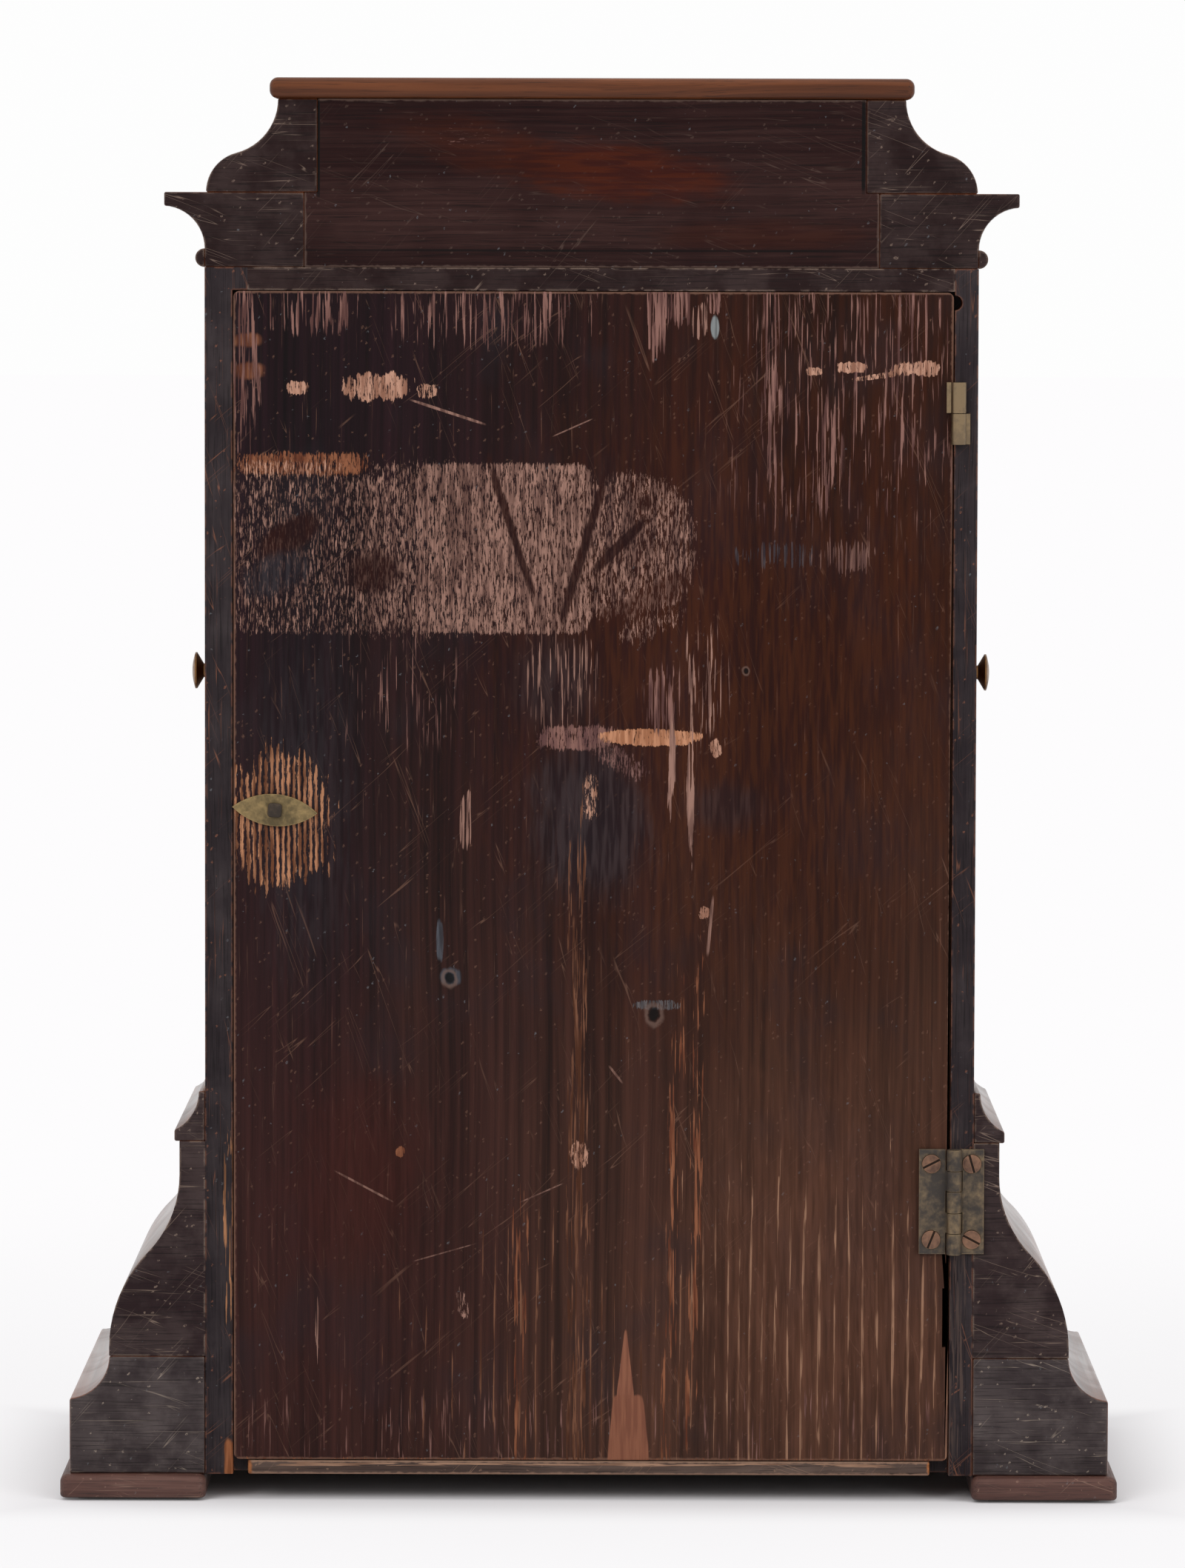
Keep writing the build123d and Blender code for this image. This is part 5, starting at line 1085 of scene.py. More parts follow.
DOOR_MARKS = (
    Mark(720, 560, 1290, 1330, seen(52, 33, 27), seen(74, 44, 33), 0.5, Break.SMEAR, soft=0.7, square=2),
    Mark(930, 1500, 1300, 2000, seen(76, 52, 42), seen(96, 66, 54), 0.5, Break.SMEAR, soft=0.8, square=2),
    Mark(724, 1008, 872, 1204, *BLUE_BLACK, 0.60, Break.SMEAR, ragged=0.9, soft=0.4, square=2.4),
    Mark(700, 870, 790, 980, *BLUE_BLACK, 0.4, Break.SMEAR, ragged=0.9, soft=0.6, square=2),
    Mark(930, 1060, 1030, 1120, *BLUE_BLACK, 0.4, Break.SMEAR, ragged=0.9, soft=0.5, square=2),
    Mark(350, 880, 470, 1290, *BLUE_BLACK, 0.4, Break.SMEAR, soft=0.7, square=2),
    Mark(1000, 736, 1104, 764, seen(52, 46, 49), seen(76, 68, 70), 0.50, Break.STRIPS, ragged=0.9,
         soft=0.5, square=2),
    Mark(1106, 732, 1178, 774, seen(84, 62, 58), seen(112, 84, 76), 0.60, Break.STRIPS, ragged=0.9,
         soft=0.5, square=2),
    Mark(308, 638, 560, 856, *TAN, 0.34, Break.FLAKES, ragged=0.06, soft=0.03, square=12),
    Mark(470, 630, 660, 856, *TAN, 0.50, Break.FLAKES, ragged=0.10, soft=0.18, square=6),
    Mark(560, 625, 800, 856, *TAN, 0.68, Break.FLAKES, ragged=0.05, soft=0.03, square=12),
    Mark(752, 640, 940, 834, *TAN, 0.50, Break.FLAKES, turn=10, ragged=0.25, soft=0.10, square=2.4),
    Mark(838, 826, 920, 862, *TAN, 0.44, Break.FLAKES, turn=24, ragged=1.4, soft=0.5, square=2.2),
    Mark(688, 618, 698, 826, *STAIN, 0.92, Break.SMEAR, turn=18.3, ragged=0.9, soft=0.35, square=4),
    Mark(783, 622, 794, 858, *STAIN, 0.92, Break.SMEAR, turn=-17, ragged=0.9, soft=0.35, square=4),
    Mark(829, 686, 843, 788, *STAIN, 0.9, Break.SMEAR, turn=-45, ragged=0.5, soft=0.25, square=2.5),
    Mark(862, 668, 880, 690, *STAIN, 0.8, Break.SMEAR, ragged=0.6, soft=0.3, square=2),
    Mark(792, 796, 946, 826, seen(54, 35, 31), seen(62, 40, 35), 0.6, Break.SMEAR, turn=28, ragged=1.2,
         soft=0.4, square=2.4),
    Mark(345, 702, 440, 742, *STAIN, 0.85, Break.SMEAR, turn=30, ragged=0.6, soft=0.3, square=2.2),
    Mark(325, 752, 420, 800, *BLUE_BLACK, 0.75, Break.SMEAR, turn=24, ragged=0.6, soft=0.4, square=2.2),
    Mark(470, 745, 540, 800, *STAIN, 0.8, Break.SMEAR, turn=10, ragged=0.6, soft=0.4, square=2.2),
    Mark(314, 611, 500, 642, *RUST, 0.75, Break.FLAKES, ragged=0.7, soft=0.25, square=5),
    Mark(318, 622, 460, 646, *ORANGE, 0.4, Break.FLAKES, ragged=0.9, soft=0.3, square=4),
    Mark(317, 450, 352, 467, *RUST, 0.7, Break.SMEAR, ragged=0.8, soft=0.3),
    Mark(320, 491, 354, 511, *RUST, 0.7, Break.SMEAR, ragged=0.8, soft=0.3),
    Mark(314, 390, 348, 600, *PINK, 0.42, Break.STRIPS, ragged=0.5, soft=0.3),
    Mark(354, 390, 470, 446, *PINK, 0.34, Break.STRIPS, ragged=0.6, soft=0.4),
    Mark(560, 389, 800, 462, *PINK, 0.26, Break.STRIPS, ragged=0.6, soft=0.5),
    Mark(876, 389, 900, 478, *PINK, 0.85, Break.STRIPS, ragged=0.4, soft=0.3, taper=-0.4),
    Mark(906, 390, 930, 440, *PINK, 0.8, Break.STRIPS, ragged=0.5, soft=0.3),
    Mark(936, 408, 954, 456, *TAN, 0.6, Break.STRIPS, ragged=0.5, soft=0.3),
    Mark(956, 392, 972, 424, *PINK, 0.8, Break.STRIPS, ragged=0.4, soft=0.3),
    Mark(960, 427, 971, 458, seen(92, 94, 94), seen(128, 132, 132), 0.9, Break.SMEAR, ragged=0.3, square=2),
    Mark(1125, 392, 1284, 492, *PINK, 0.46, Break.RIDGES, ragged=0.4, soft=0.35),
    Mark(1000, 392, 1284, 700, *PINK, 0.12, Break.STRIPS, ragged=0.4, soft=0.5),
    Mark(1030, 380, 1052, 660, *PINK, 0.42, Break.STRIPS, ragged=0.6, soft=0.5, square=5),
    Mark(1108, 520, 1128, 680, *PINK, 0.50, Break.STRIPS, ragged=0.6, soft=0.5, square=5),
    Mark(320, 1880, 1270, 1985, *PINK, 0.08, Break.STRIPS, ragged=0.6, soft=0.5, square=5),
    Mark(460, 860, 620, 1000, *PINK, 0.08, Break.STRIPS, ragged=0.6, soft=0.5),
    Mark(470, 506, 555, 541, *ORANGE, 0.84, Break.FLAKES, ragged=1.3, soft=0.08, square=4),
    Mark(387, 514, 418, 534, *ORANGE, 0.84, Break.FLAKES, ragged=1.3),
    Mark(562, 519, 588, 537, *ORANGE, 0.6, Break.FLAKES, ragged=0.9),
    Mark(552, 554, 655, 558, *TAN, 0.85, Break.SMEAR, turn=-18, ragged=0.3, square=4),
    Mark(746, 576, 802, 578, *TAN, 0.6, Break.SMEAR, turn=24, ragged=0.3, square=4),
    Mark(1090, 496, 1112, 507, *ORANGE, 0.84, Break.FLAKES, ragged=1.3),
    Mark(1135, 490, 1170, 503, *ORANGE, 0.84, Break.FLAKES, ragged=1.3),
    Mark(1152, 505, 1214, 512, *ORANGE, 0.6, Break.FLAKES, turn=8, ragged=0.9),
    Mark(1207, 488, 1268, 508, *ORANGE, 0.84, Break.FLAKES, ragged=1.3),
    Mark(306, 1014, 450, 1196, seen(100, 66, 50), seen(174, 124, 94), 0.56, Break.RIBS, ragged=1.0,
         soft=0.16, square=2.1),
    Mark(728, 980, 830, 1012, seen(94, 68, 66), seen(130, 96, 88), 0.8, Break.FLAKES, ragged=0.5,
         soft=0.2, square=4),
    Mark(808, 985, 950, 1007, seen(150, 102, 76), seen(186, 134, 104), 0.95, Break.FLAKES, ragged=0.7,
         soft=0.12, square=2.4),
    Mark(958, 1000, 973, 1023, *ORANGE, 0.84, Break.FLAKES, turn=20, ragged=1.3),
    Mark(792, 1010, 880, 1042, seen(86, 62, 60), seen(122, 92, 86), 0.52, Break.FLAKES, turn=-34,
         ragged=0.7, soft=0.3),
    Mark(788, 1040, 808, 1104, *ORANGE, 0.45, Break.FLAKES, ragged=0.9, soft=0.3),
    Mark(874, 905, 915, 982, *PINK, 0.62, Break.STRIPS, ragged=0.5, soft=0.4),
    Mark(926, 860, 978, 995, *TAN, 0.34, Break.STRIPS, ragged=0.5, soft=0.5),
    Mark(716, 860, 800, 975, *TAN, 0.30, Break.STRIPS, ragged=0.5, soft=0.5),
    Mark(622, 1074, 638, 1140, *TAN, 0.7, Break.STRIPS, ragged=0.5, soft=0.3),
    Mark(903, 985, 911, 1140, *TAN, 0.8, Break.STRIPS, ragged=0.8, soft=0.4),
    Mark(929, 960, 937, 1150, *TAN, 0.7, Break.STRIPS, ragged=0.8, soft=0.4),
    Mark(957, 1213, 961, 1287, *TAN, 0.8, Break.SMEAR, turn=-5, ragged=0.4, square=4),
    Mark(945, 1224, 958, 1240, *ORANGE, 0.8, Break.FLAKES, ragged=0.9),
    Mark(589, 1244, 598, 1296, seen(58, 58, 62), seen(84, 86, 92), 0.8, Break.SMEAR, ragged=0.6),
    Mark(594, 1306, 624, 1332, seen(48, 48, 52), seen(72, 74, 80), 0.8, Break.SMEAR, ragged=0.6, square=2),
    Mark(856, 1350, 912, 1364, seen(64, 62, 64), seen(96, 90, 90), 0.7, Break.FLAKES, ragged=0.8),
    Mark(768, 1180, 790, 1980, seen(72, 48, 39), seen(112, 78, 62), 0.46, Break.STRIPS, ragged=0.8,
         soft=0.5, square=6),
    Mark(772, 1540, 794, 1576, *ORANGE, 0.6, Break.FLAKES, ragged=1.0),
    Mark(690, 1640, 712, 1978, *RUST, 0.36, Break.STRIPS, ragged=0.8, soft=0.5, square=3),
    Mark(900, 1400, 914, 1980, *RUST, 0.42, Break.STRIPS, turn=-1.5, ragged=0.8, soft=0.5, square=4),
    Mark(932, 1380, 944, 1980, *RUST, 0.40, Break.STRIPS, turn=-1.0, ragged=0.8, soft=0.5, square=4),
    Mark(905, 1600, 1310, 2030, seen(90, 64, 53), seen(142, 108, 88), 0.52, Break.RIDGES, turn=-2,
         ragged=0.5, soft=0.5, square=2.6),
    Mark(560, 1680, 960, 1990, seen(78, 53, 43), seen(116, 82, 65), 0.34, Break.RIDGES, ragged=0.5,
         soft=0.5, square=2.4),
    Mark(831, 1796, 858, 1900, seen(118, 78, 64), seen(134, 90, 72), 1.0, Break.SMEAR, ragged=0.14,
         soft=0.05, square=9, taper=0.9),
    Mark(818, 1884, 878, 1992, seen(116, 76, 62), seen(132, 88, 70), 1.0, Break.SMEAR, ragged=0.08,
         soft=0.04, square=12, taper=0.34),
    Mark(340, 1400, 640, 1980, seen(54, 36, 35), seen(64, 40, 39), 0.3, Break.SMEAR, ragged=0.9,
         soft=0.7, square=2),
    Mark(410, 1480, 560, 1700, seen(62, 36, 32), seen(70, 40, 36), 0.35, Break.SMEAR, ragged=0.9,
         soft=0.7, square=2),
    Mark(618, 1742, 632, 1782, *TAN, 0.5, Break.FLAKES, turn=12, ragged=1.0, soft=0.3),
    Mark(534, 1548, 546, 1562, *RUST, 0.9, Break.FLAKES, turn=-30, ragged=0.9),
    Mark(426, 1740, 430, 1850, *TAN, 0.5, Break.STRIPS, ragged=0.9, soft=0.5),
    Mark(452, 1600, 530, 1603, *TAN, 0.6, Break.SMEAR, turn=-28, ragged=0.4, square=4),
    Mark(700, 1610, 760, 1612, *TAN, 0.55, Break.SMEAR, turn=24, ragged=0.4, square=4),
    Mark(560, 1690, 640, 1692, *TAN, 0.45, Break.SMEAR, turn=16, ragged=0.4, square=4),
    Mark(818, 1450, 846, 1453, *TAN, 0.6, Break.SMEAR, turn=-52, ragged=0.4, square=4),
    Mark(320, 1968, 1280, 1982, *RUST, 0.5, Break.FLAKES, ragged=0.6, soft=0.5, square=6),
)
CROWN_MARKS = (
    Mark(700, 196, 970, 268, seen(60, 34, 29), seen(76, 40, 31), 0.7, Break.SMEAR, turn=-7, ragged=0.8,
         soft=0.45, square=2),
    Mark(540, 168, 780, 232, seen(54, 34, 30), seen(66, 38, 31), 0.5, Break.SMEAR, turn=-14, ragged=0.8,
         soft=0.5, square=2),
    Mark(900, 300, 1160, 336, seen(54, 34, 30), seen(64, 40, 34), 0.5, Break.SMEAR, ragged=0.8, soft=0.5,
         square=2),
    Mark(590, 172, 660, 196, *PINK, 0.14, Break.FLAKES, turn=-8, ragged=0.9, soft=0.5),
    Mark(430, 336, 1183, 341, seen(26, 20, 20), seen(34, 26, 26), 0.8, Break.SMEAR, ragged=0.8, soft=0.4,
         square=6),
    Mark(428, 133, 432, 262, seen(22, 18, 18), seen(30, 25, 25), 0.9, Break.SMEAR, ragged=0.3, square=9),
    Mark(1164, 133, 1168, 262, seen(22, 18, 18), seen(30, 25, 25), 0.9, Break.SMEAR, ragged=0.3, square=9),
)
STILE_MARKS = (
    Mark(303, 1545, 317, 1765, seen(104, 74, 56), seen(158, 112, 82), 0.5, Break.STRIPS, ragged=0.8,
         soft=0.3, square=5),
    Mark(303, 1945, 316, 1996, seen(120, 74, 50), seen(150, 96, 66), 0.9, Break.SMEAR, ragged=0.4,
         square=5),
    Mark(1278, 1560, 1300, 2000, seen(58, 52, 52), seen(78, 66, 62), 0.6, Break.STRIPS, ragged=0.6,
         soft=0.4),
)
BOARD_MARKS = (
    Mark(1252, 1970, 1276, 2002, seen(128, 78, 48), seen(170, 108, 66), 0.9, Break.SMEAR, ragged=0.5,
         square=5),
    Mark(318, 1970, 340, 2002, seen(110, 68, 44), seen(150, 96, 62), 0.85, Break.SMEAR, ragged=0.5,
         square=5),
    Mark(340, 1974, 1252, 1981, seen(112, 86, 72), seen(152, 120, 100), 0.75, Break.STRIPS, ragged=0.9,
         soft=0.4, square=8),
)
KNOT_SQUASH = 0.8
KNOTS = ((607, 1321, 0.0024), (883, 1370, 0.0030), (1007, 906, 0.0012))


@dataclass(frozen=True)
class DoorPine(StainedPine):
    """The rear door: stained pine with its own zones of colour, rubbed marks and knots.

    Args:
        zones: Colours of the top left, top right, bottom left and bottom right.
    """

    zones: tuple[Colour, ...] = (seen(40, 33, 35), seen(50, 35, 31), seen(56, 40, 38), seen(78, 56, 47))

    def paint(self, tree: Tree) -> Surface:
        """Wires the zones, the grain, the marks and the knots.

        Args:
            tree: The material's tree.

        Returns:
            What the shader needs.
        """
        place = tree.place()
        x, _, z = tree.split(place)
        rubbing = Rubbing(tree, self.grain)
        drift = tree.minus(tree.noise(tree.scaled(place, 22, 22, 7), detail=3.0), 0.5)
        right = tree.rise(tree.plus(x, tree.product(drift, 0.12)), 0.12, -0.12)
        low = tree.rise(tree.plus(z, tree.product(drift, 0.22)), 0.34, 0.01)
        top_row = tree.blend(right, self.zones[0], self.zones[1])
        colour = tree.blend(low, top_row, tree.blend(right, self.zones[2], self.zones[3]))
        grain = tree.use(EFFECTS.grain(), vector=place, waver=0.006)
        fine = tree.rise(grain.outputs["Fine"], *FINE_SPAN)
        broad = tree.rise(grain.outputs["Broad"], *BROAD_SPAN)
        figure = tree.plus(tree.product(broad, 0.5), tree.product(rubbing.rings, 0.26))
        tone = tree.plus(0.30, tree.plus(tree.product(fine, 0.52), figure))
        colour = tree.blend(1.0, colour, tree.joined(tone, tone, tone), "MULTIPLY")
        bloom = tree.rise(tree.noise(tree.scaled(place, 40, 40, 24), detail=4.0), 0.5, 0.72)
        colour = tree.lay(colour, seen(46, 42, 45), bloom, 0.4)
        colour, roughness, height = self.wear_over(tree, place, colour, grain)
        colour, height = rubbing.over(self.marks, colour, height)
        for knot in KNOTS:
            colour = self.knot(tree, place, colour, *knot)
        _, outward, _ = tree.split(tree.facing())
        inside = tree.rise(outward, -0.5, -0.9)
        colour = tree.blend(inside, colour, tree.blend(fine, seen(96, 74, 58), seen(140, 110, 84)))
        return Surface(colour, roughness, specular=self.gloss, height=height, bump=0.0002)

    def knot(self, tree: Tree, place: Socket, colour: Socket, column: float, row: float,
             radius: float) -> Socket:
        """Lays a dark knot with a paler ring over the colour.

        Args:
            tree: The material's tree.
            place: The object coordinates.
            colour: The colour under the knot.
            column: The photo's column of its middle.
            row: The photo's row of its middle.
            radius: Its radius, in metres.

        Returns:
            The colour with the knot.
        """
        x, z = VIEWPOINT.on_back(column, row)
        offset = tree.vector("SUBTRACT", tree.scaled(place, 1, 0, KNOT_SQUASH), (x, 0, z * KNOT_SQUASH))
        waver = tree.noise(place, scale=300, detail=2.0)
        distance = tree.ratio(tree.vector("LENGTH", offset), radius)
        distance = tree.plus(distance, tree.product(tree.minus(waver, 0.5), 0.8))
        ring = tree.product(tree.rise(distance, 0.6, 0.9), tree.invert(tree.rise(distance, 1.0, 1.4)))
        colour = tree.lay(colour, seen(108, 88, 80), ring, 0.55)
        return tree.lay(colour, seen(30, 27, 29), tree.invert(tree.rise(distance, 0.45, 0.9)), 0.9)


@dataclass(frozen=True)
class Metal(Finish):
    """A metal with tarnish in its hollows and bright worn edges.

    Args:
        bright: Colour of the bare metal.
        tarnish: Colour of the dulled metal.
        dull: Share of the surface that is dulled.
        rough: Roughness of the bright metal.
        stipple: Depth of a matted ground.
        lit_above: Height above which the metal is painted brighter, a painted highlight standing in for
            light, in metres.
        shade_free_from: How far back a surface must stand to be free of the painted shade of slots and
            recesses, in metres.
    """

    bright: Colour = srgb(190, 160, 110)
    tarnish: Colour = srgb(92, 76, 54)
    dull: float = 0.6
    rough: float = 0.3
    stipple: float = 0.0
    lit_above: float = OUT_OF_REACH
    shade_free_from: float = -OUT_OF_REACH

    def paint(self, tree: Tree) -> Surface:
        """Wires the tarnish, the worn edges, the painted highlight above a height, the pits, the fine
        scratches and the painted shade of recesses.

        Args:
            tree: The material's tree.

        Returns:
            What the shader needs.
        """
        place = tree.place()
        cloud = tree.noise(place, scale=60, detail=6.0, roughness=0.62)
        close = tree.noise(place, scale=420, detail=4.0, roughness=0.6)
        field = tree.plus(tree.product(cloud, 0.65), tree.product(close, 0.35))
        ease = 0.3 * self.dull
        dulled = tree.rise(field, 0.58 - ease, 0.86 - ease)
        worn = tree.mask(EFFECTS.edges(), vector=place, radius=0.0006, broken=0.36)
        _, y, z = tree.split(place)
        # Painted highlight: above the given height the metal is bared brighter, standing in for light on the
        # upper hinge; the rest of the mask below is real edge wear.
        lit_top = tree.rise(z, self.lit_above, self.lit_above + 0.001)
        worn_or_lit = tree.strongest(tree.product(worn, 0.9), tree.product(lit_top, 0.7))
        cover = tree.math("SUBTRACT", dulled, worn_or_lit, clamp=True)
        colour = tree.blend(cover, self.bright, self.tarnish)
        pits = tree.mask(EFFECTS.specks(), vector=place, scale=1100.0, radius=0.2, share=0.07)
        colour = tree.lay(colour, srgb(34, 28, 24), pits, 0.45)
        hairs = tree.mask(EFFECTS.scratches(), vector=place, across=900.0, along=30.0, width=0.012,
                          sparseness=0.58)
        colour = tree.lay(colour, self.bright, hairs, 0.3)
        # Painted shade: surfaces sunk below the given depth, such as screw slots, are darkened to stand in
        # for the shade in them.
        unshaded = tree.rise(y, self.shade_free_from - 0.0002, self.shade_free_from)
        colour = tree.lay(colour, srgb(24, 19, 17), tree.invert(unshaded), 0.9)
        roughness = tree.plus(self.rough, tree.product(cover, 0.28))
        grit = tree.noise(place, scale=2600, detail=1.0)
        ground = tree.plus(tree.product(close, 0.3), tree.product(grit, self.stipple))
        height = tree.minus(ground, tree.product(tree.strongest(pits, hairs), 0.4))
        return Surface(colour, roughness, metallic=tree.minus(1.0, tree.product(cover, 0.45)),
                       height=height, bump=0.00006)


@dataclass(frozen=True)
class Felt(Finish):
    """Green felt under the feet."""

    def paint(self, tree: Tree) -> Surface:
        """Wires the matted fibres.

        Args:
            tree: The material's tree.

        Returns:
            What the shader needs.
        """
        fibres = tree.noise(tree.place(), scale=2400, detail=4.0, roughness=0.7)
        colour = tree.blend(tree.rise(fibres, 0.35, 0.65), srgb(34, 48, 38), srgb(78, 96, 76))
        return Surface(colour, 0.95, specular=0.1, height=fibres, bump=0.0003)


@dataclass(frozen=True)
class ClearGlass(Finish):
    """Old window glass, faintly green and a little wavy.

    Args:
        tint: Colour of what is seen through it.
        blend: How soon its reflection grows towards grazing angles.
        shine: Strength of the reflection.
        wave: Depth of the waves, in metres.
    """

    tint: Colour = srgb(251, 253, 251)
    blend: float = 0.33
    shine: float = 1.6
    wave: float = 0.0004

    def shader(self, tree: Tree) -> Socket:
        """Wires glass that lets light through and reflects on its outer faces.

        Args:
            tree: The material's tree.

        Returns:
            The shader.
        """
        ripple = tree.noise(tree.place(), scale=26, detail=1.0)
        gloss = tree.node("ShaderNodeBsdfGlossy")
        gloss.inputs["Roughness"].default_value = 0.03
        tree.feed(tree.bump(ripple, self.wave), gloss.inputs["Normal"])
        clear = tree.node("ShaderNodeBsdfTransparent")
        clear.inputs["Color"].default_value = self.tint
        edge = tree.node("ShaderNodeLayerWeight")
        edge.inputs["Blend"].default_value = self.blend
        outside = tree.invert(tree.node("ShaderNodeNewGeometry").outputs["Backfacing"])
        mirror = tree.product(edge.outputs["Fresnel"], outside, self.shine)
        return tree.mixed(mirror, clear.outputs[0], gloss.outputs[0])


PLAIN_BACK = StainedPine("stained_pine", grain=Grain.LEVEL)
BASE_BACK = StainedPine("base_back", dark=seen(54, 48, 49), light=seen(88, 80, 79), grain=Grain.LEVEL,
                        figure=0.3, rubbed=seen(168, 152, 138), wear=0.95)
OGEE_BACK = StainedPine("ogee_back", dark=seen(46, 38, 39), light=seen(72, 62, 61), grain=Grain.LEVEL,
                        figure=0.3, rubbed=seen(150, 130, 116), wear=0.9)
TOP_BACK = StainedPine("top_back", dark=seen(42, 34, 34), light=seen(62, 52, 51), grain=Grain.LEVEL,
                       figure=0.3, rubbed=seen(140, 120, 108), wear=0.85)
SIDE_BACK = StainedPine("side_back", dark=seen(42, 38, 40), light=seen(64, 58, 59), figure=0.6,
                        rubbed=seen(150, 100, 78), marks=STILE_MARKS)

PLINTH_WOOD = PolishedWood("plinth_wood", back=BASE_BACK, mitred=True)
OGEE_WOOD = PolishedWood("ogee_wood", back=OGEE_BACK, mitred=True)
TOP_WOOD = PolishedWood("top_wood", back=TOP_BACK, mitred=True)
SIDE_WOOD = PolishedWood("side_wood", back=SIDE_BACK, grain=Grain.UPRIGHT)
DOOR_WOOD = PolishedWood("door_wood", grain=Grain.UPRIGHT)
CAP_WOOD = PolishedWood("cap_wood", dark=srgb(64, 33, 18), light=srgb(118, 68, 40), coat=0.0, sheen=0.2)
FOOT_WOOD = StainedPine("foot_wood", dark=seen(70, 48, 44), light=seen(108, 80, 72),
                        rubbed=seen(170, 138, 120), grain=Grain.LEVEL, gloss=0.4)
CROWN_WOOD = StainedPine("crown_wood", dark=seen(40, 29, 28), light=seen(62, 46, 44), grain=Grain.LEVEL,
                         board="crown_back_board", marks=CROWN_MARKS, wear=0.6, scored=0.3,
                         rubbed=seen(104, 86, 78))
DOOR_PINE = DoorPine("rear_door_pine", board="rear_door", marks=DOOR_MARKS, scored=0.32)
BARE_PINE = StainedPine("bare_pine", dark=srgb(128, 92, 62), light=srgb(186, 146, 104),
                        rubbed=srgb(206, 172, 134), grain=Grain.LEVEL)
TOP_PINE = PolishedWood("top_board_pine", dark=srgb(128, 92, 62), light=srgb(176, 136, 96), back=TOP_BACK,
                        coat=0.0)
BOTTOM_PINE = StainedPine("bottom_pine", dark=seen(70, 58, 54), light=seen(106, 90, 82),
                          rubbed=seen(160, 128, 108), grain=Grain.LEVEL, board="bottom_board",
                          marks=BOARD_MARKS)
OLD_BRASS = Metal("old_brass", bright=srgb(162, 138, 96), tarnish=srgb(92, 79, 54), dull=0.7, rough=0.38)
SPINDLE = Metal("spindle_iron", bright=srgb(112, 96, 80), tarnish=srgb(58, 50, 44), dull=0.8, rough=0.45)
KNOB_BRASS = Metal("knob_brass", bright=srgb(128, 92, 58), tarnish=srgb(70, 48, 32), dull=0.6, rough=0.32)
BRASS = Metal("polished_brass", bright=srgb(222, 184, 112), tarnish=srgb(188, 150, 90), dull=0.4, rough=0.2)
MATTED = Metal("matted_brass", bright=srgb(184, 146, 82), tarnish=srgb(142, 110, 62), dull=0.5, rough=0.5,
               stipple=2.4)
GILT = Metal("gilt_brass", bright=srgb(238, 204, 128), tarnish=srgb(204, 166, 98), dull=0.35, rough=0.24)
HINGE = Metal("hinge_iron", bright=srgb(138, 118, 92), tarnish=srgb(66, 60, 56), dull=0.95, rough=0.4,
              lit_above=0.3)
SCREW = Metal("screw_iron", bright=srgb(140, 106, 86), tarnish=srgb(80, 60, 52), dull=0.7, rough=0.4,
              shade_free_from=BACK_PLANE_Y + 0.0018)
STEEL = Metal("steel", bright=srgb(188, 188, 190), tarnish=srgb(128, 126, 124), dull=0.4, rough=0.25)
BLUED = Metal("blued_steel", bright=srgb(40, 56, 104), tarnish=srgb(26, 34, 62), dull=0.4, rough=0.25)
SILVER = Metal("silvered_brass", bright=srgb(226, 222, 212), tarnish=srgb(202, 195, 180), dull=0.4,
               rough=0.45)
BELL_METAL = Metal("bell_bronze", bright=srgb(196, 168, 112), tarnish=srgb(150, 124, 80), dull=0.4,
                   rough=0.26)
FELT = Felt("felt")
DIAL_WAX = StainedPine("dial_wax", dark=srgb(20, 19, 20), light=srgb(32, 30, 30),
                       rubbed=srgb(110, 104, 96), wear=0.35)
GLASS = ClearGlass("clear_glass")

NODE_FINISHES: dict[str, Finish] = {
    "block_feet": FOOT_WOOD, "felt_pads": FELT, "plinth_moulding": PLINTH_WOOD, "ogee_moulding": OGEE_WOOD,
    "upper_base_moulding": OGEE_WOOD, "bead_moulding": TOP_WOOD, "cornice_moulding": TOP_WOOD,
    "bell_top_moulding": TOP_WOOD, "crown_back_board": CROWN_WOOD, "top_cap": CAP_WOOD,
    "case_side_latch": SIDE_WOOD, "case_side_hinge": SIDE_WOOD, "bottom_board": BOTTOM_PINE,
    "top_board": TOP_PINE, "lower_front_rail": PLAIN_BACK, "seat_board": BARE_PINE,
    "rear_hinge_case_leaves": HINGE, "rear_hinge_case_screws": SCREW, "front_hinge_case_leaves": BRASS,
    "movement_plates": BRASS, "plate_pillars": BRASS, "dial_plate": MATTED, "chapter_ring": SILVER,
    "dial_ornaments": GILT, "back_cock": BRASS, "bell": BELL_METAL, "bell_stand": STEEL,
    "rear_door": DOOR_PINE, "rear_hinge_door_leaves": HINGE, "rear_hinge_door_screws": SCREW,
    "latch_plate": OLD_BRASS, "latch_spindle": SPINDLE, "front_door_frame": DOOR_WOOD,
    "front_door_glass": GLASS, "front_door_bezel": BRASS, "key_escutcheon": BRASS, "front_door_lock": STEEL,
    "front_hinge_door_leaves": BRASS, "lock_bolt": STEEL, "side_door_latch_side": DOOR_WOOD,
    "side_glass_latch_side": GLASS, "side_knob_latch_side": KNOB_BRASS, "side_door_hinge_side": DOOR_WOOD,
    "side_glass_hinge_side": GLASS, "side_knob_hinge_side": KNOB_BRASS, "going_barrel": BRASS,
    "strike_barrel": BRASS, "centre_wheel": BRASS, "cannon_wheel": BRASS, "minute_hand": BLUED,
    "third_wheel": BRASS, "escape_wheel": BRASS, "minute_wheel": BRASS, "hour_wheel": BRASS,
    "hour_hand": BLUED, "pin_wheel": BRASS, "bell_hammer": STEEL, "anchor": STEEL, "pendulum_rod": STEEL,
    "pendulum_bob": BRASS,
}


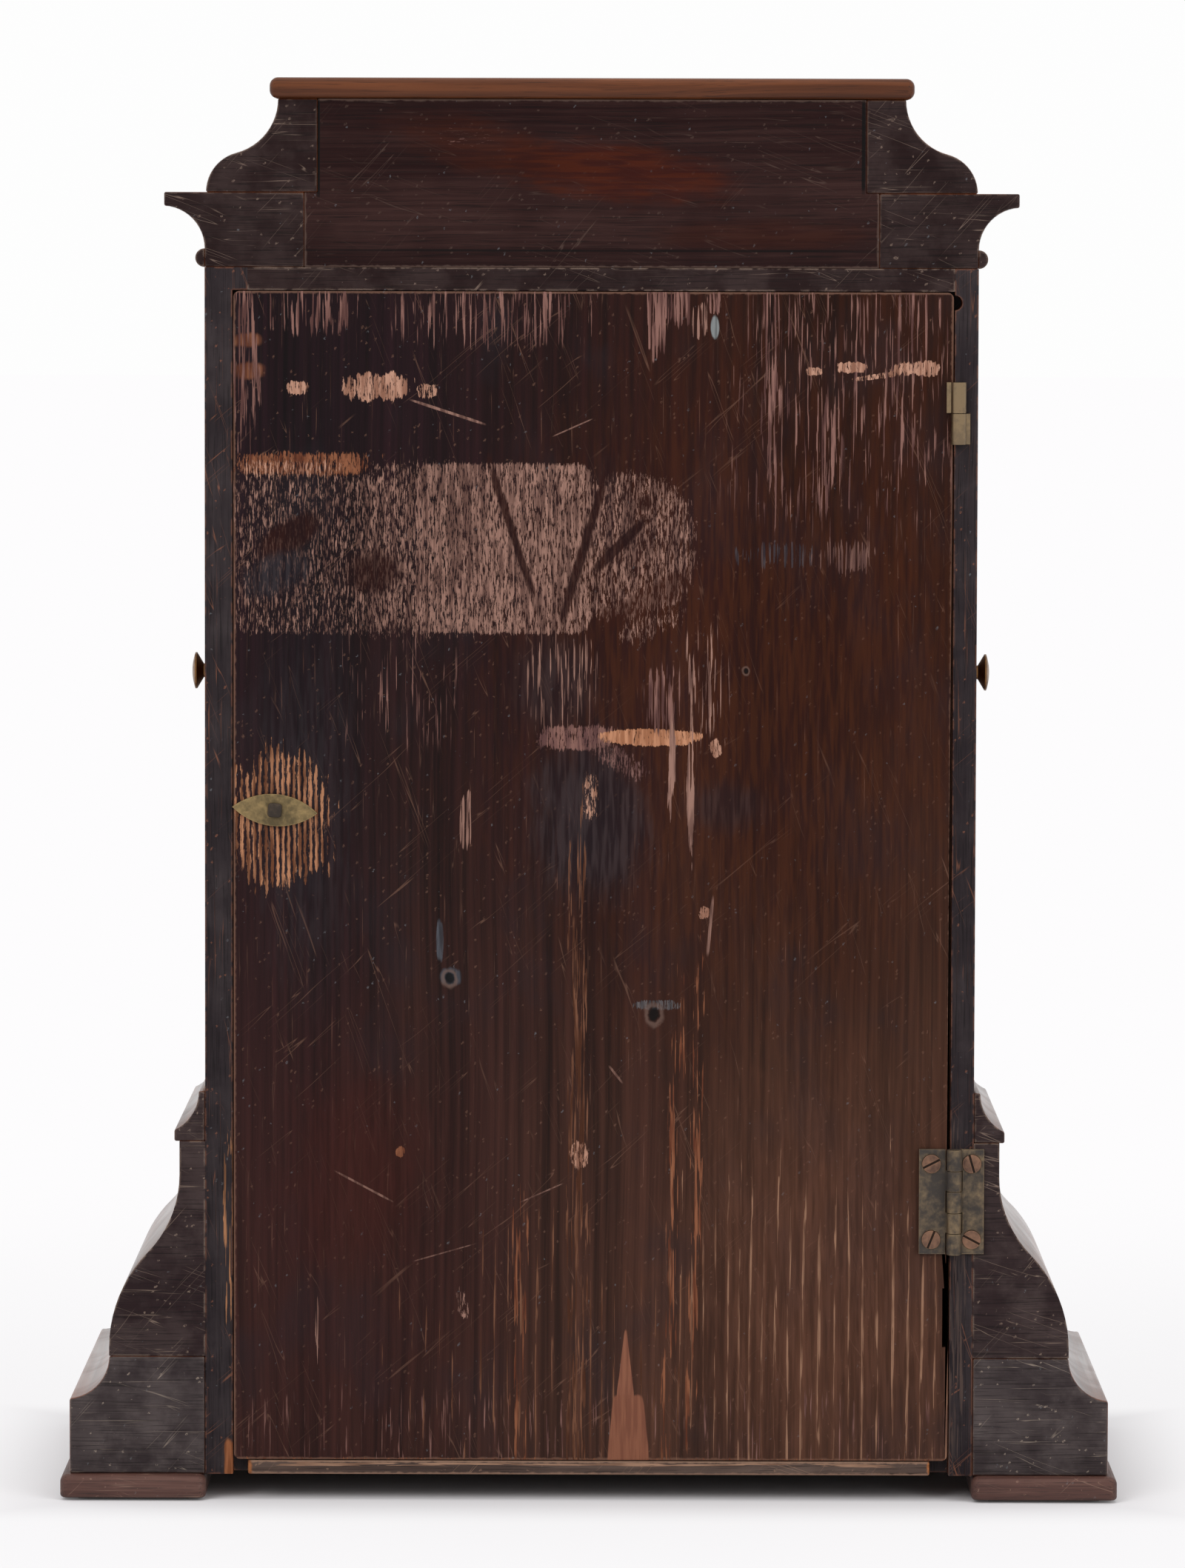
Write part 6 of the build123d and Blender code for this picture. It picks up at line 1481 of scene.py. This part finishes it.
@dataclass(frozen=True)
class SoftBox:
    """A square soft light.

    Args:
        name: The light's name.
        place: Where it hangs.
        aim: What it points at.
        size: Length of its side.
        power: Its power, in watts.
    """

    name: str
    place: tuple[float, float, float]
    aim: tuple[float, float, float]
    size: float
    power: float

    def add(self) -> None:
        """Hangs the light, which itself is never seen."""
        bpy.ops.object.light_add(type="AREA", location=self.place)
        light = bpy.context.object
        light.name = self.name
        light.data.size = self.size
        light.data.energy = self.power
        light.visible_camera = False
        light.visible_glossy = False
        light.rotation_euler = (Vector(self.aim) - Vector(self.place)).to_track_quat("-Z", "Y").to_euler()


@dataclass
class Studio:
    """White studio round the clock: soft boxes, pale floor and backdrop.

    Args:
        floor_size: Side of the floor.
        backdrop: Level of the backdrop where it is seen.
        fill: Level with which it lights.
        footprint: Half width and half depth of the clock's stand on the floor.
        shadow: Where the glow gives way to the matt floor beyond the footprint; the matt floor shows the real
            contact shadow, and the fade paints the floor darker round it.
        halo: Where the wider painted shade starts and ends, as the glow fades towards the clock.
        shadow_share: The contact shadow's share of the two.
        lights: The soft boxes.
    """

    floor_size: float = 40.0
    backdrop: float = 0.985
    fill: float = 0.42
    footprint: tuple[float, float] = (0.175, 0.085)
    shadow: tuple[float, float] = (-0.004, 0.06)
    halo: tuple[float, float] = (0.0, 0.8)
    shadow_share: float = 0.80
    lights: tuple[SoftBox, ...] = (
        SoftBox("key_light", (1.6, 2.6, 2.1), (0, 0, 0.25), 1.8, 46),
        SoftBox("fill_light", (-2.2, 2.2, 1.4), (0, 0, 0.25), 2.0, 34),
        SoftBox("top_light", (0, 0.3, 2.8), (0, 0, 0), 2.4, 30),
    )

    def world(self) -> None:
        """Sets a world that is white where it is seen and softer where it lights."""
        world = bpy.data.worlds.new("Studio")
        bpy.context.scene.world = world
        world.use_nodes = True
        world.node_tree.nodes.clear()
        tree = Tree(world.node_tree)
        ground = tree.node("ShaderNodeBackground")
        level = tree.plus(tree.product(tree.looked_at(), self.backdrop - self.fill), self.fill)
        tree.feed(level, ground.inputs["Strength"])
        ground.inputs["Color"].default_value = (1.0, 1.0, 1.0, 1.0)
        tree.close("ShaderNodeOutputWorld", ground.outputs[0])

    def floor(self) -> None:
        """Adds a pale floor that keeps the real contact shadow, with painted shade round the clock where its
        glow fades.
        """
        bpy.ops.mesh.primitive_plane_add(size=self.floor_size)
        floor = bpy.context.object
        floor.name = "studio_floor"
        material = bpy.data.materials.new("studio_floor")
        material.use_nodes = True
        material.node_tree.nodes.clear()
        tree = Tree(material.node_tree)
        matt = tree.node("ShaderNodeBsdfDiffuse")
        matt.inputs["Color"].default_value = srgb(236, 234, 236)
        glow = tree.node("ShaderNodeEmission")
        glow.inputs["Color"].default_value = srgb(253, 252, 253)
        x, y, _ = tree.split(tree.place())
        outside = tree.strongest(tree.minus(tree.size(x), self.footprint[0]),
                                 tree.minus(tree.size(y), self.footprint[1]))
        # Painted shade: the glow falls off near the footprint, so the floor reads darker round the clock on
        # top of the real shadow in its matt part.
        glowing = tree.plus(tree.product(tree.rise(outside, *self.shadow), self.shadow_share),
                            tree.product(tree.rise(outside, *self.halo), 1.0 - self.shadow_share))
        share = tree.product(tree.looked_at(), glowing)
        tree.close("ShaderNodeOutputMaterial", tree.mixed(share, matt.outputs[0], glow.outputs[0]))
        floor.data.materials.append(material)

    def build(self) -> None:
        """Sets the world, the lights, the floor and the colour view."""
        self.world()
        for light in self.lights:
            light.add()
        self.floor()
        scene = bpy.context.scene
        scene.view_settings.view_transform = "Standard"
        scene.view_settings.look = "None"
        scene.render.film_transparent = False


def deselect() -> None:
    """Leaves edit mode and deselects every object."""
    if bpy.context.object and bpy.context.object.mode != "OBJECT":
        bpy.ops.object.mode_set(mode="OBJECT")
    bpy.ops.object.select_all(action="DESELECT")


def activate(piece: bpy.types.Object) -> None:
    """Makes the object the only selected and active one.

    Args:
        piece: The object.
    """
    deselect()
    piece.select_set(True)
    bpy.context.view_layer.objects.active = piece


@dataclass
class Softened:
    """A board or fitting of the CAD part with worn, rounded edges.

    Args:
        node: The CAD node that the piece stands for.
        body: The body it rides on.
        slot: The record's material slot; not used.
        width: How far the edges are rounded.
        segments: Steps of the rounding.
    """

    node: str
    body: str
    slot: str
    width: float = 0.0006
    segments: int = 2
    merge: ClassVar[float] = 0.00001
    flat: ClassVar[float] = math.radians(0.6)
    sharp: ClassVar[float] = math.radians(38)
    smooth: ClassVar[float] = math.radians(32)

    def build(self, source: bpy.types.Object) -> bpy.types.Object:
        """Copies the node's mesh, merges it, rounds its edges and takes its place.

        Args:
            source: The node's object.

        Returns:
            The new piece.
        """
        piece = bpy.data.objects.new(f"{self.node}_worn", source.data.copy())
        bpy.context.scene.collection.objects.link(piece)
        activate(piece)
        bpy.ops.object.mode_set(mode="EDIT")
        bpy.ops.mesh.select_all(action="SELECT")
        bpy.ops.mesh.remove_doubles(threshold=self.merge)
        bpy.ops.mesh.dissolve_limited(angle_limit=self.flat)
        bpy.ops.mesh.normals_make_consistent(inside=False)
        bpy.ops.object.mode_set(mode="OBJECT")
        bevel = piece.modifiers.new("edges", "BEVEL")
        bevel.width = self.width
        bevel.segments = self.segments
        bevel.limit_method = "ANGLE"
        bevel.angle_limit = self.sharp
        bevel.use_clamp_overlap = True
        bpy.ops.object.modifier_apply(modifier="edges")
        bpy.ops.object.shade_smooth_by_angle(angle=self.smooth)
        piece.data.materials.clear()
        piece.data.materials.append(NODE_FINISHES[self.node].material())
        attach(piece, self.body)
        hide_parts(self.node)
        LOG.info("%s: %d faces", piece.name, len(piece.data.polygons))
        return piece


SOFTENED = (
    Softened("rear_door", "rear_door", "stained_pine", 0.0011, 3),
    Softened("block_feet", "case", "polished_walnut", 0.0008, 2),
    Softened("plinth_moulding", "case", "polished_walnut", 0.0009, 3),
    Softened("ogee_moulding", "case", "polished_walnut", 0.0007, 2),
    Softened("upper_base_moulding", "case", "polished_walnut", 0.0006, 2),
    Softened("bead_moulding", "case", "polished_walnut", 0.0004, 2),
    Softened("cornice_moulding", "case", "polished_walnut", 0.0006, 2),
    Softened("bell_top_moulding", "case", "polished_walnut", 0.0006, 2),
    Softened("crown_back_board", "case", "stained_pine", 0.0005, 2),
    Softened("top_cap", "case", "cap_walnut", 0.0008, 2),
    Softened("case_side_latch", "case", "polished_walnut", 0.0006, 2),
    Softened("case_side_hinge", "case", "polished_walnut", 0.0006, 2),
    Softened("bottom_board", "case", "bare_pine", 0.0006, 2),
    Softened("latch_plate", "latch", "old_brass", 0.0004, 3),
    Softened("rear_hinge_case_leaves", "case", "hinge_iron", 0.00022, 2),
    Softened("rear_hinge_door_leaves", "rear_door", "hinge_iron", 0.00022, 2),
    Softened("rear_hinge_case_screws", "case", "steel", 0.00022, 3),
    Softened("rear_hinge_door_screws", "rear_door", "steel", 0.00022, 3),
    Softened("latch_spindle", "latch", "old_brass", 0.0003, 3),
    Softened("felt_pads", "case", "felt", 0.0004, 3),
    Softened("lower_front_rail", "case", "polished_walnut", 0.0006, 2),
    Softened("front_door_frame", "front_door", "polished_walnut", 0.0008, 3),
    Softened("front_door_bezel", "front_door", "polished_brass", 0.0005, 3),
    Softened("key_escutcheon", "front_door", "polished_brass", 0.0003, 2),
    Softened("side_door_latch_side", "side_door_left", "polished_walnut", 0.0007, 3),
    Softened("side_door_hinge_side", "side_door_right", "polished_walnut", 0.0007, 3),
    Softened("dial_plate", "case", "polished_brass", 0.0003, 2),
    Softened("chapter_ring", "case", "silvered_brass", 0.0003, 2),
    Softened("dial_ornaments", "case", "polished_brass", 0.0004, 2),
    Softened("hour_hand", "hour_pipe", "blued_steel", 0.0002, 2),
    Softened("minute_hand", "minute_arbor", "blued_steel", 0.0002, 2),
    Softened("seat_board", "case", "bare_pine", 0.0006, 2),
    Softened("movement_plates", "case", "polished_brass", 0.0003, 2),
    Softened("back_cock", "case", "polished_brass", 0.0003, 2),
    Softened("bell_stand", "case", "steel", 0.0003, 2),
)


class Bars:
    """Thin black bars and rings laid on the dial's face, all in one mesh of closed shapes."""

    depth = 0.00018
    round_steps = 144
    wire_steps = 6

    def __init__(self, name: str, front: float) -> None:
        """Starts an empty mesh in edit mode.

        Args:
            name: The piece's name.
            front: The Y of the face on which the bars lie.
        """
        deselect()
        self.piece = bpy.data.objects.new(name, bpy.data.meshes.new(name))
        bpy.context.scene.collection.objects.link(self.piece)
        activate(self.piece)
        bpy.ops.object.mode_set(mode="EDIT")
        self.front = front

    def bar(self, x: float, z: float, width: float, length: float, turn: float = 0.0) -> None:
        """Adds a bar centred at X and Z, turned clockwise as the dial is seen."""
        bpy.ops.mesh.primitive_cube_add(size=1, location=(x, self.front, z), rotation=(0, turn, 0),
                                        scale=(width, self.depth, length))

    def ring(self, x: float, z: float, radius: float, width: float) -> None:
        """Adds a thin round line.

        Args:
            x: X of its centre.
            z: Z of its centre.
            radius: Its radius.
            width: Width of the line.
        """
        bpy.ops.mesh.primitive_torus_add(location=(x, self.front, z), rotation=(math.pi / 2, 0, 0),
                                         major_segments=self.round_steps, minor_segments=self.wire_steps,
                                         major_radius=radius, minor_radius=width / 2)

    def done(self, finish: Finish, body: str) -> bpy.types.Object:
        """Leaves edit mode and hands the piece over.

        Args:
            finish: The finish of the marks.
            body: The body they ride on.

        Returns:
            The piece.
        """
        bpy.ops.object.mode_set(mode="OBJECT")
        self.piece.data.materials.append(finish.material())
        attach(self.piece, body)
        LOG.info("%s: %d faces", self.piece.name, len(self.piece.data.polygons))
        return self.piece


@dataclass
class DialMarks:
    """The dial's roman hour numerals and its minute track.

    Args:
        centre: X and Z of the dial's centre.
        front: Y of the chapter ring's face.
        low: Radius at the foot of the numerals.
        high: Radius at the top of the numerals.
        track: Radii of the two lines of the minute track.
        numerals: The hours from twelve on.
        thick: Width of a thick stroke.
        thin: Width of a thin stroke.
        serif: Height of a serif.
        line: Width of the track's lines.
        ticks: Widths of a minute's mark and of every fifth one.
        foot: Width of the serifs of I, as a share of a thick stroke.
        toe: Width of the serifs of V and X, as a share of a thick stroke.
        reach: Half the spread of V and X, as a share of their height.
        cross: Length of the strokes of X, as a share of its height.
    """

    centre: tuple[float, float] = (0.0, 0.27)
    front: float = -0.0234
    low: float = 0.0655
    high: float = 0.0815
    track: tuple[float, float] = (0.0845, 0.0893)
    numerals: tuple[str, ...] = ("XII", "I", "II", "III", "IIII", "V", "VI", "VII", "VIII", "IX", "X", "XI")
    thick: float = 0.0021
    thin: float = 0.0007
    serif: float = 0.0005
    line: float = 0.00045
    ticks: tuple[float, float] = (0.0005, 0.0012)
    foot: float = 1.75
    toe: float = 1.3
    reach: float = 0.20
    cross: float = 1.05
    minutes: ClassVar[int] = 60
    minutes_to_hour_mark: ClassVar[int] = 5
    advance: ClassVar[dict[str, float]] = {"I": 0.26, "V": 0.62, "X": 0.62}

    def stroke(self, bars: Bars, hour_angle: float, across: float, height: float, width: float,
               length: float, lean: float = 0.0) -> None:
        """Adds one stroke of a numeral that stands upright at the hour's angle.

        Args:
            bars: The mesh that it goes into.
            hour_angle: The hour's angle on the dial.
            across: How far to the right of the hour's line it stands.
            height: How far above the numeral's middle it stands.
            width: Its width.
            length: Its length.
            lean: Its angle to the hour's line.
        """
        radius = (self.low + self.high) / 2 + height
        x = math.sin(hour_angle) * radius + math.cos(hour_angle) * across
        z = math.cos(hour_angle) * radius - math.sin(hour_angle) * across
        bars.bar(self.centre[0] + x, self.centre[1] + z, width, length, hour_angle + lean)

    def letter(self, bars: Bars, letter: str, hour_angle: float, across: float) -> None:
        """Adds one letter of a numeral, with its serifs.

        Args:
            bars: The mesh that it goes into.
            letter: The letter: I, V or X.
            hour_angle: The hour's angle on the dial.
            across: How far to the right of the hour's line it stands.
        """
        rise = self.high - self.low
        half = rise / 2
        if letter == "I":
            self.stroke(bars, hour_angle, across, 0, self.thick, rise)
            for end in (-half, half):
                self.stroke(bars, hour_angle, across, end, self.thick * self.foot, self.serif)
            return
        reach = rise * self.reach
        if letter == "V":
            lean = math.atan2(reach, rise)
            self.stroke(bars, hour_angle, across - reach / 2, 0, self.thick, rise, -lean)
            self.stroke(bars, hour_angle, across + reach / 2, 0, self.thin, rise, lean)
        else:
            lean = math.atan2(2 * reach, rise)
            self.stroke(bars, hour_angle, across, 0, self.thick, rise * self.cross, -lean)
            self.stroke(bars, hour_angle, across, 0, self.thin, rise * self.cross, lean)
        for side in (-1, 1):
            for end in ((half,) if letter == "V" else (-half, half)):
                self.stroke(bars, hour_angle, across + side * reach, end, self.thick * self.toe, self.serif)

    def build(self) -> None:
        """Builds the numerals and the minute track as one piece."""
        bars = Bars("dial_marks", self.front)
        for radius in self.track:
            bars.ring(*self.centre, radius, self.line)
        middle, span = sum(self.track) / 2, self.track[1] - self.track[0]
        for minute in range(self.minutes):
            angle = minute * math.tau / self.minutes
            bars.bar(self.centre[0] + math.sin(angle) * middle, self.centre[1] + math.cos(angle) * middle,
                     self.ticks[minute % self.minutes_to_hour_mark == 0], span, angle)
        rise = self.high - self.low
        for hour, numeral in enumerate(self.numerals):
            angle = hour * math.tau / len(self.numerals)
            widths = [self.advance[letter] * rise for letter in numeral]
            start = -sum(widths) / 2
            for letter, width in zip(numeral, widths):
                self.letter(bars, letter, angle, start + width / 2)
                start += width
        bars.done(DIAL_WAX, "case")


class Clock:
    """The whole clock: every CAD node's finish and the pieces that stand for nodes."""

    def __init__(self, frame: dict) -> None:
        """Keeps the frame's nodes.
        """
        self.nodes: dict[str, bpy.types.Object] = frame["nodes"]

    def finish_nodes(self) -> None:
        """Gives every CAD node its procedural finish."""
        for name, node in self.nodes.items():
            node.data.materials.clear()
            node.data.materials.append(NODE_FINISHES[name].material())
        LOG.info("finished %d nodes", len(self.nodes))

    def build(self) -> None:
        """Finishes the nodes and builds the softened pieces."""
        self.finish_nodes()
        for softened in SOFTENED:
            softened.build(self.nodes[softened.node])
        DialMarks().build()


def main() -> None:
    """Builds the clock and its studio."""
    logging.basicConfig(level=logging.INFO, format="%(name)s %(message)s")
    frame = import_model()
    deselect()
    VIEWPOINT.camera()
    Studio().build()
    Clock(frame).build()
    deselect()


if __name__ == "__main__":
    main()
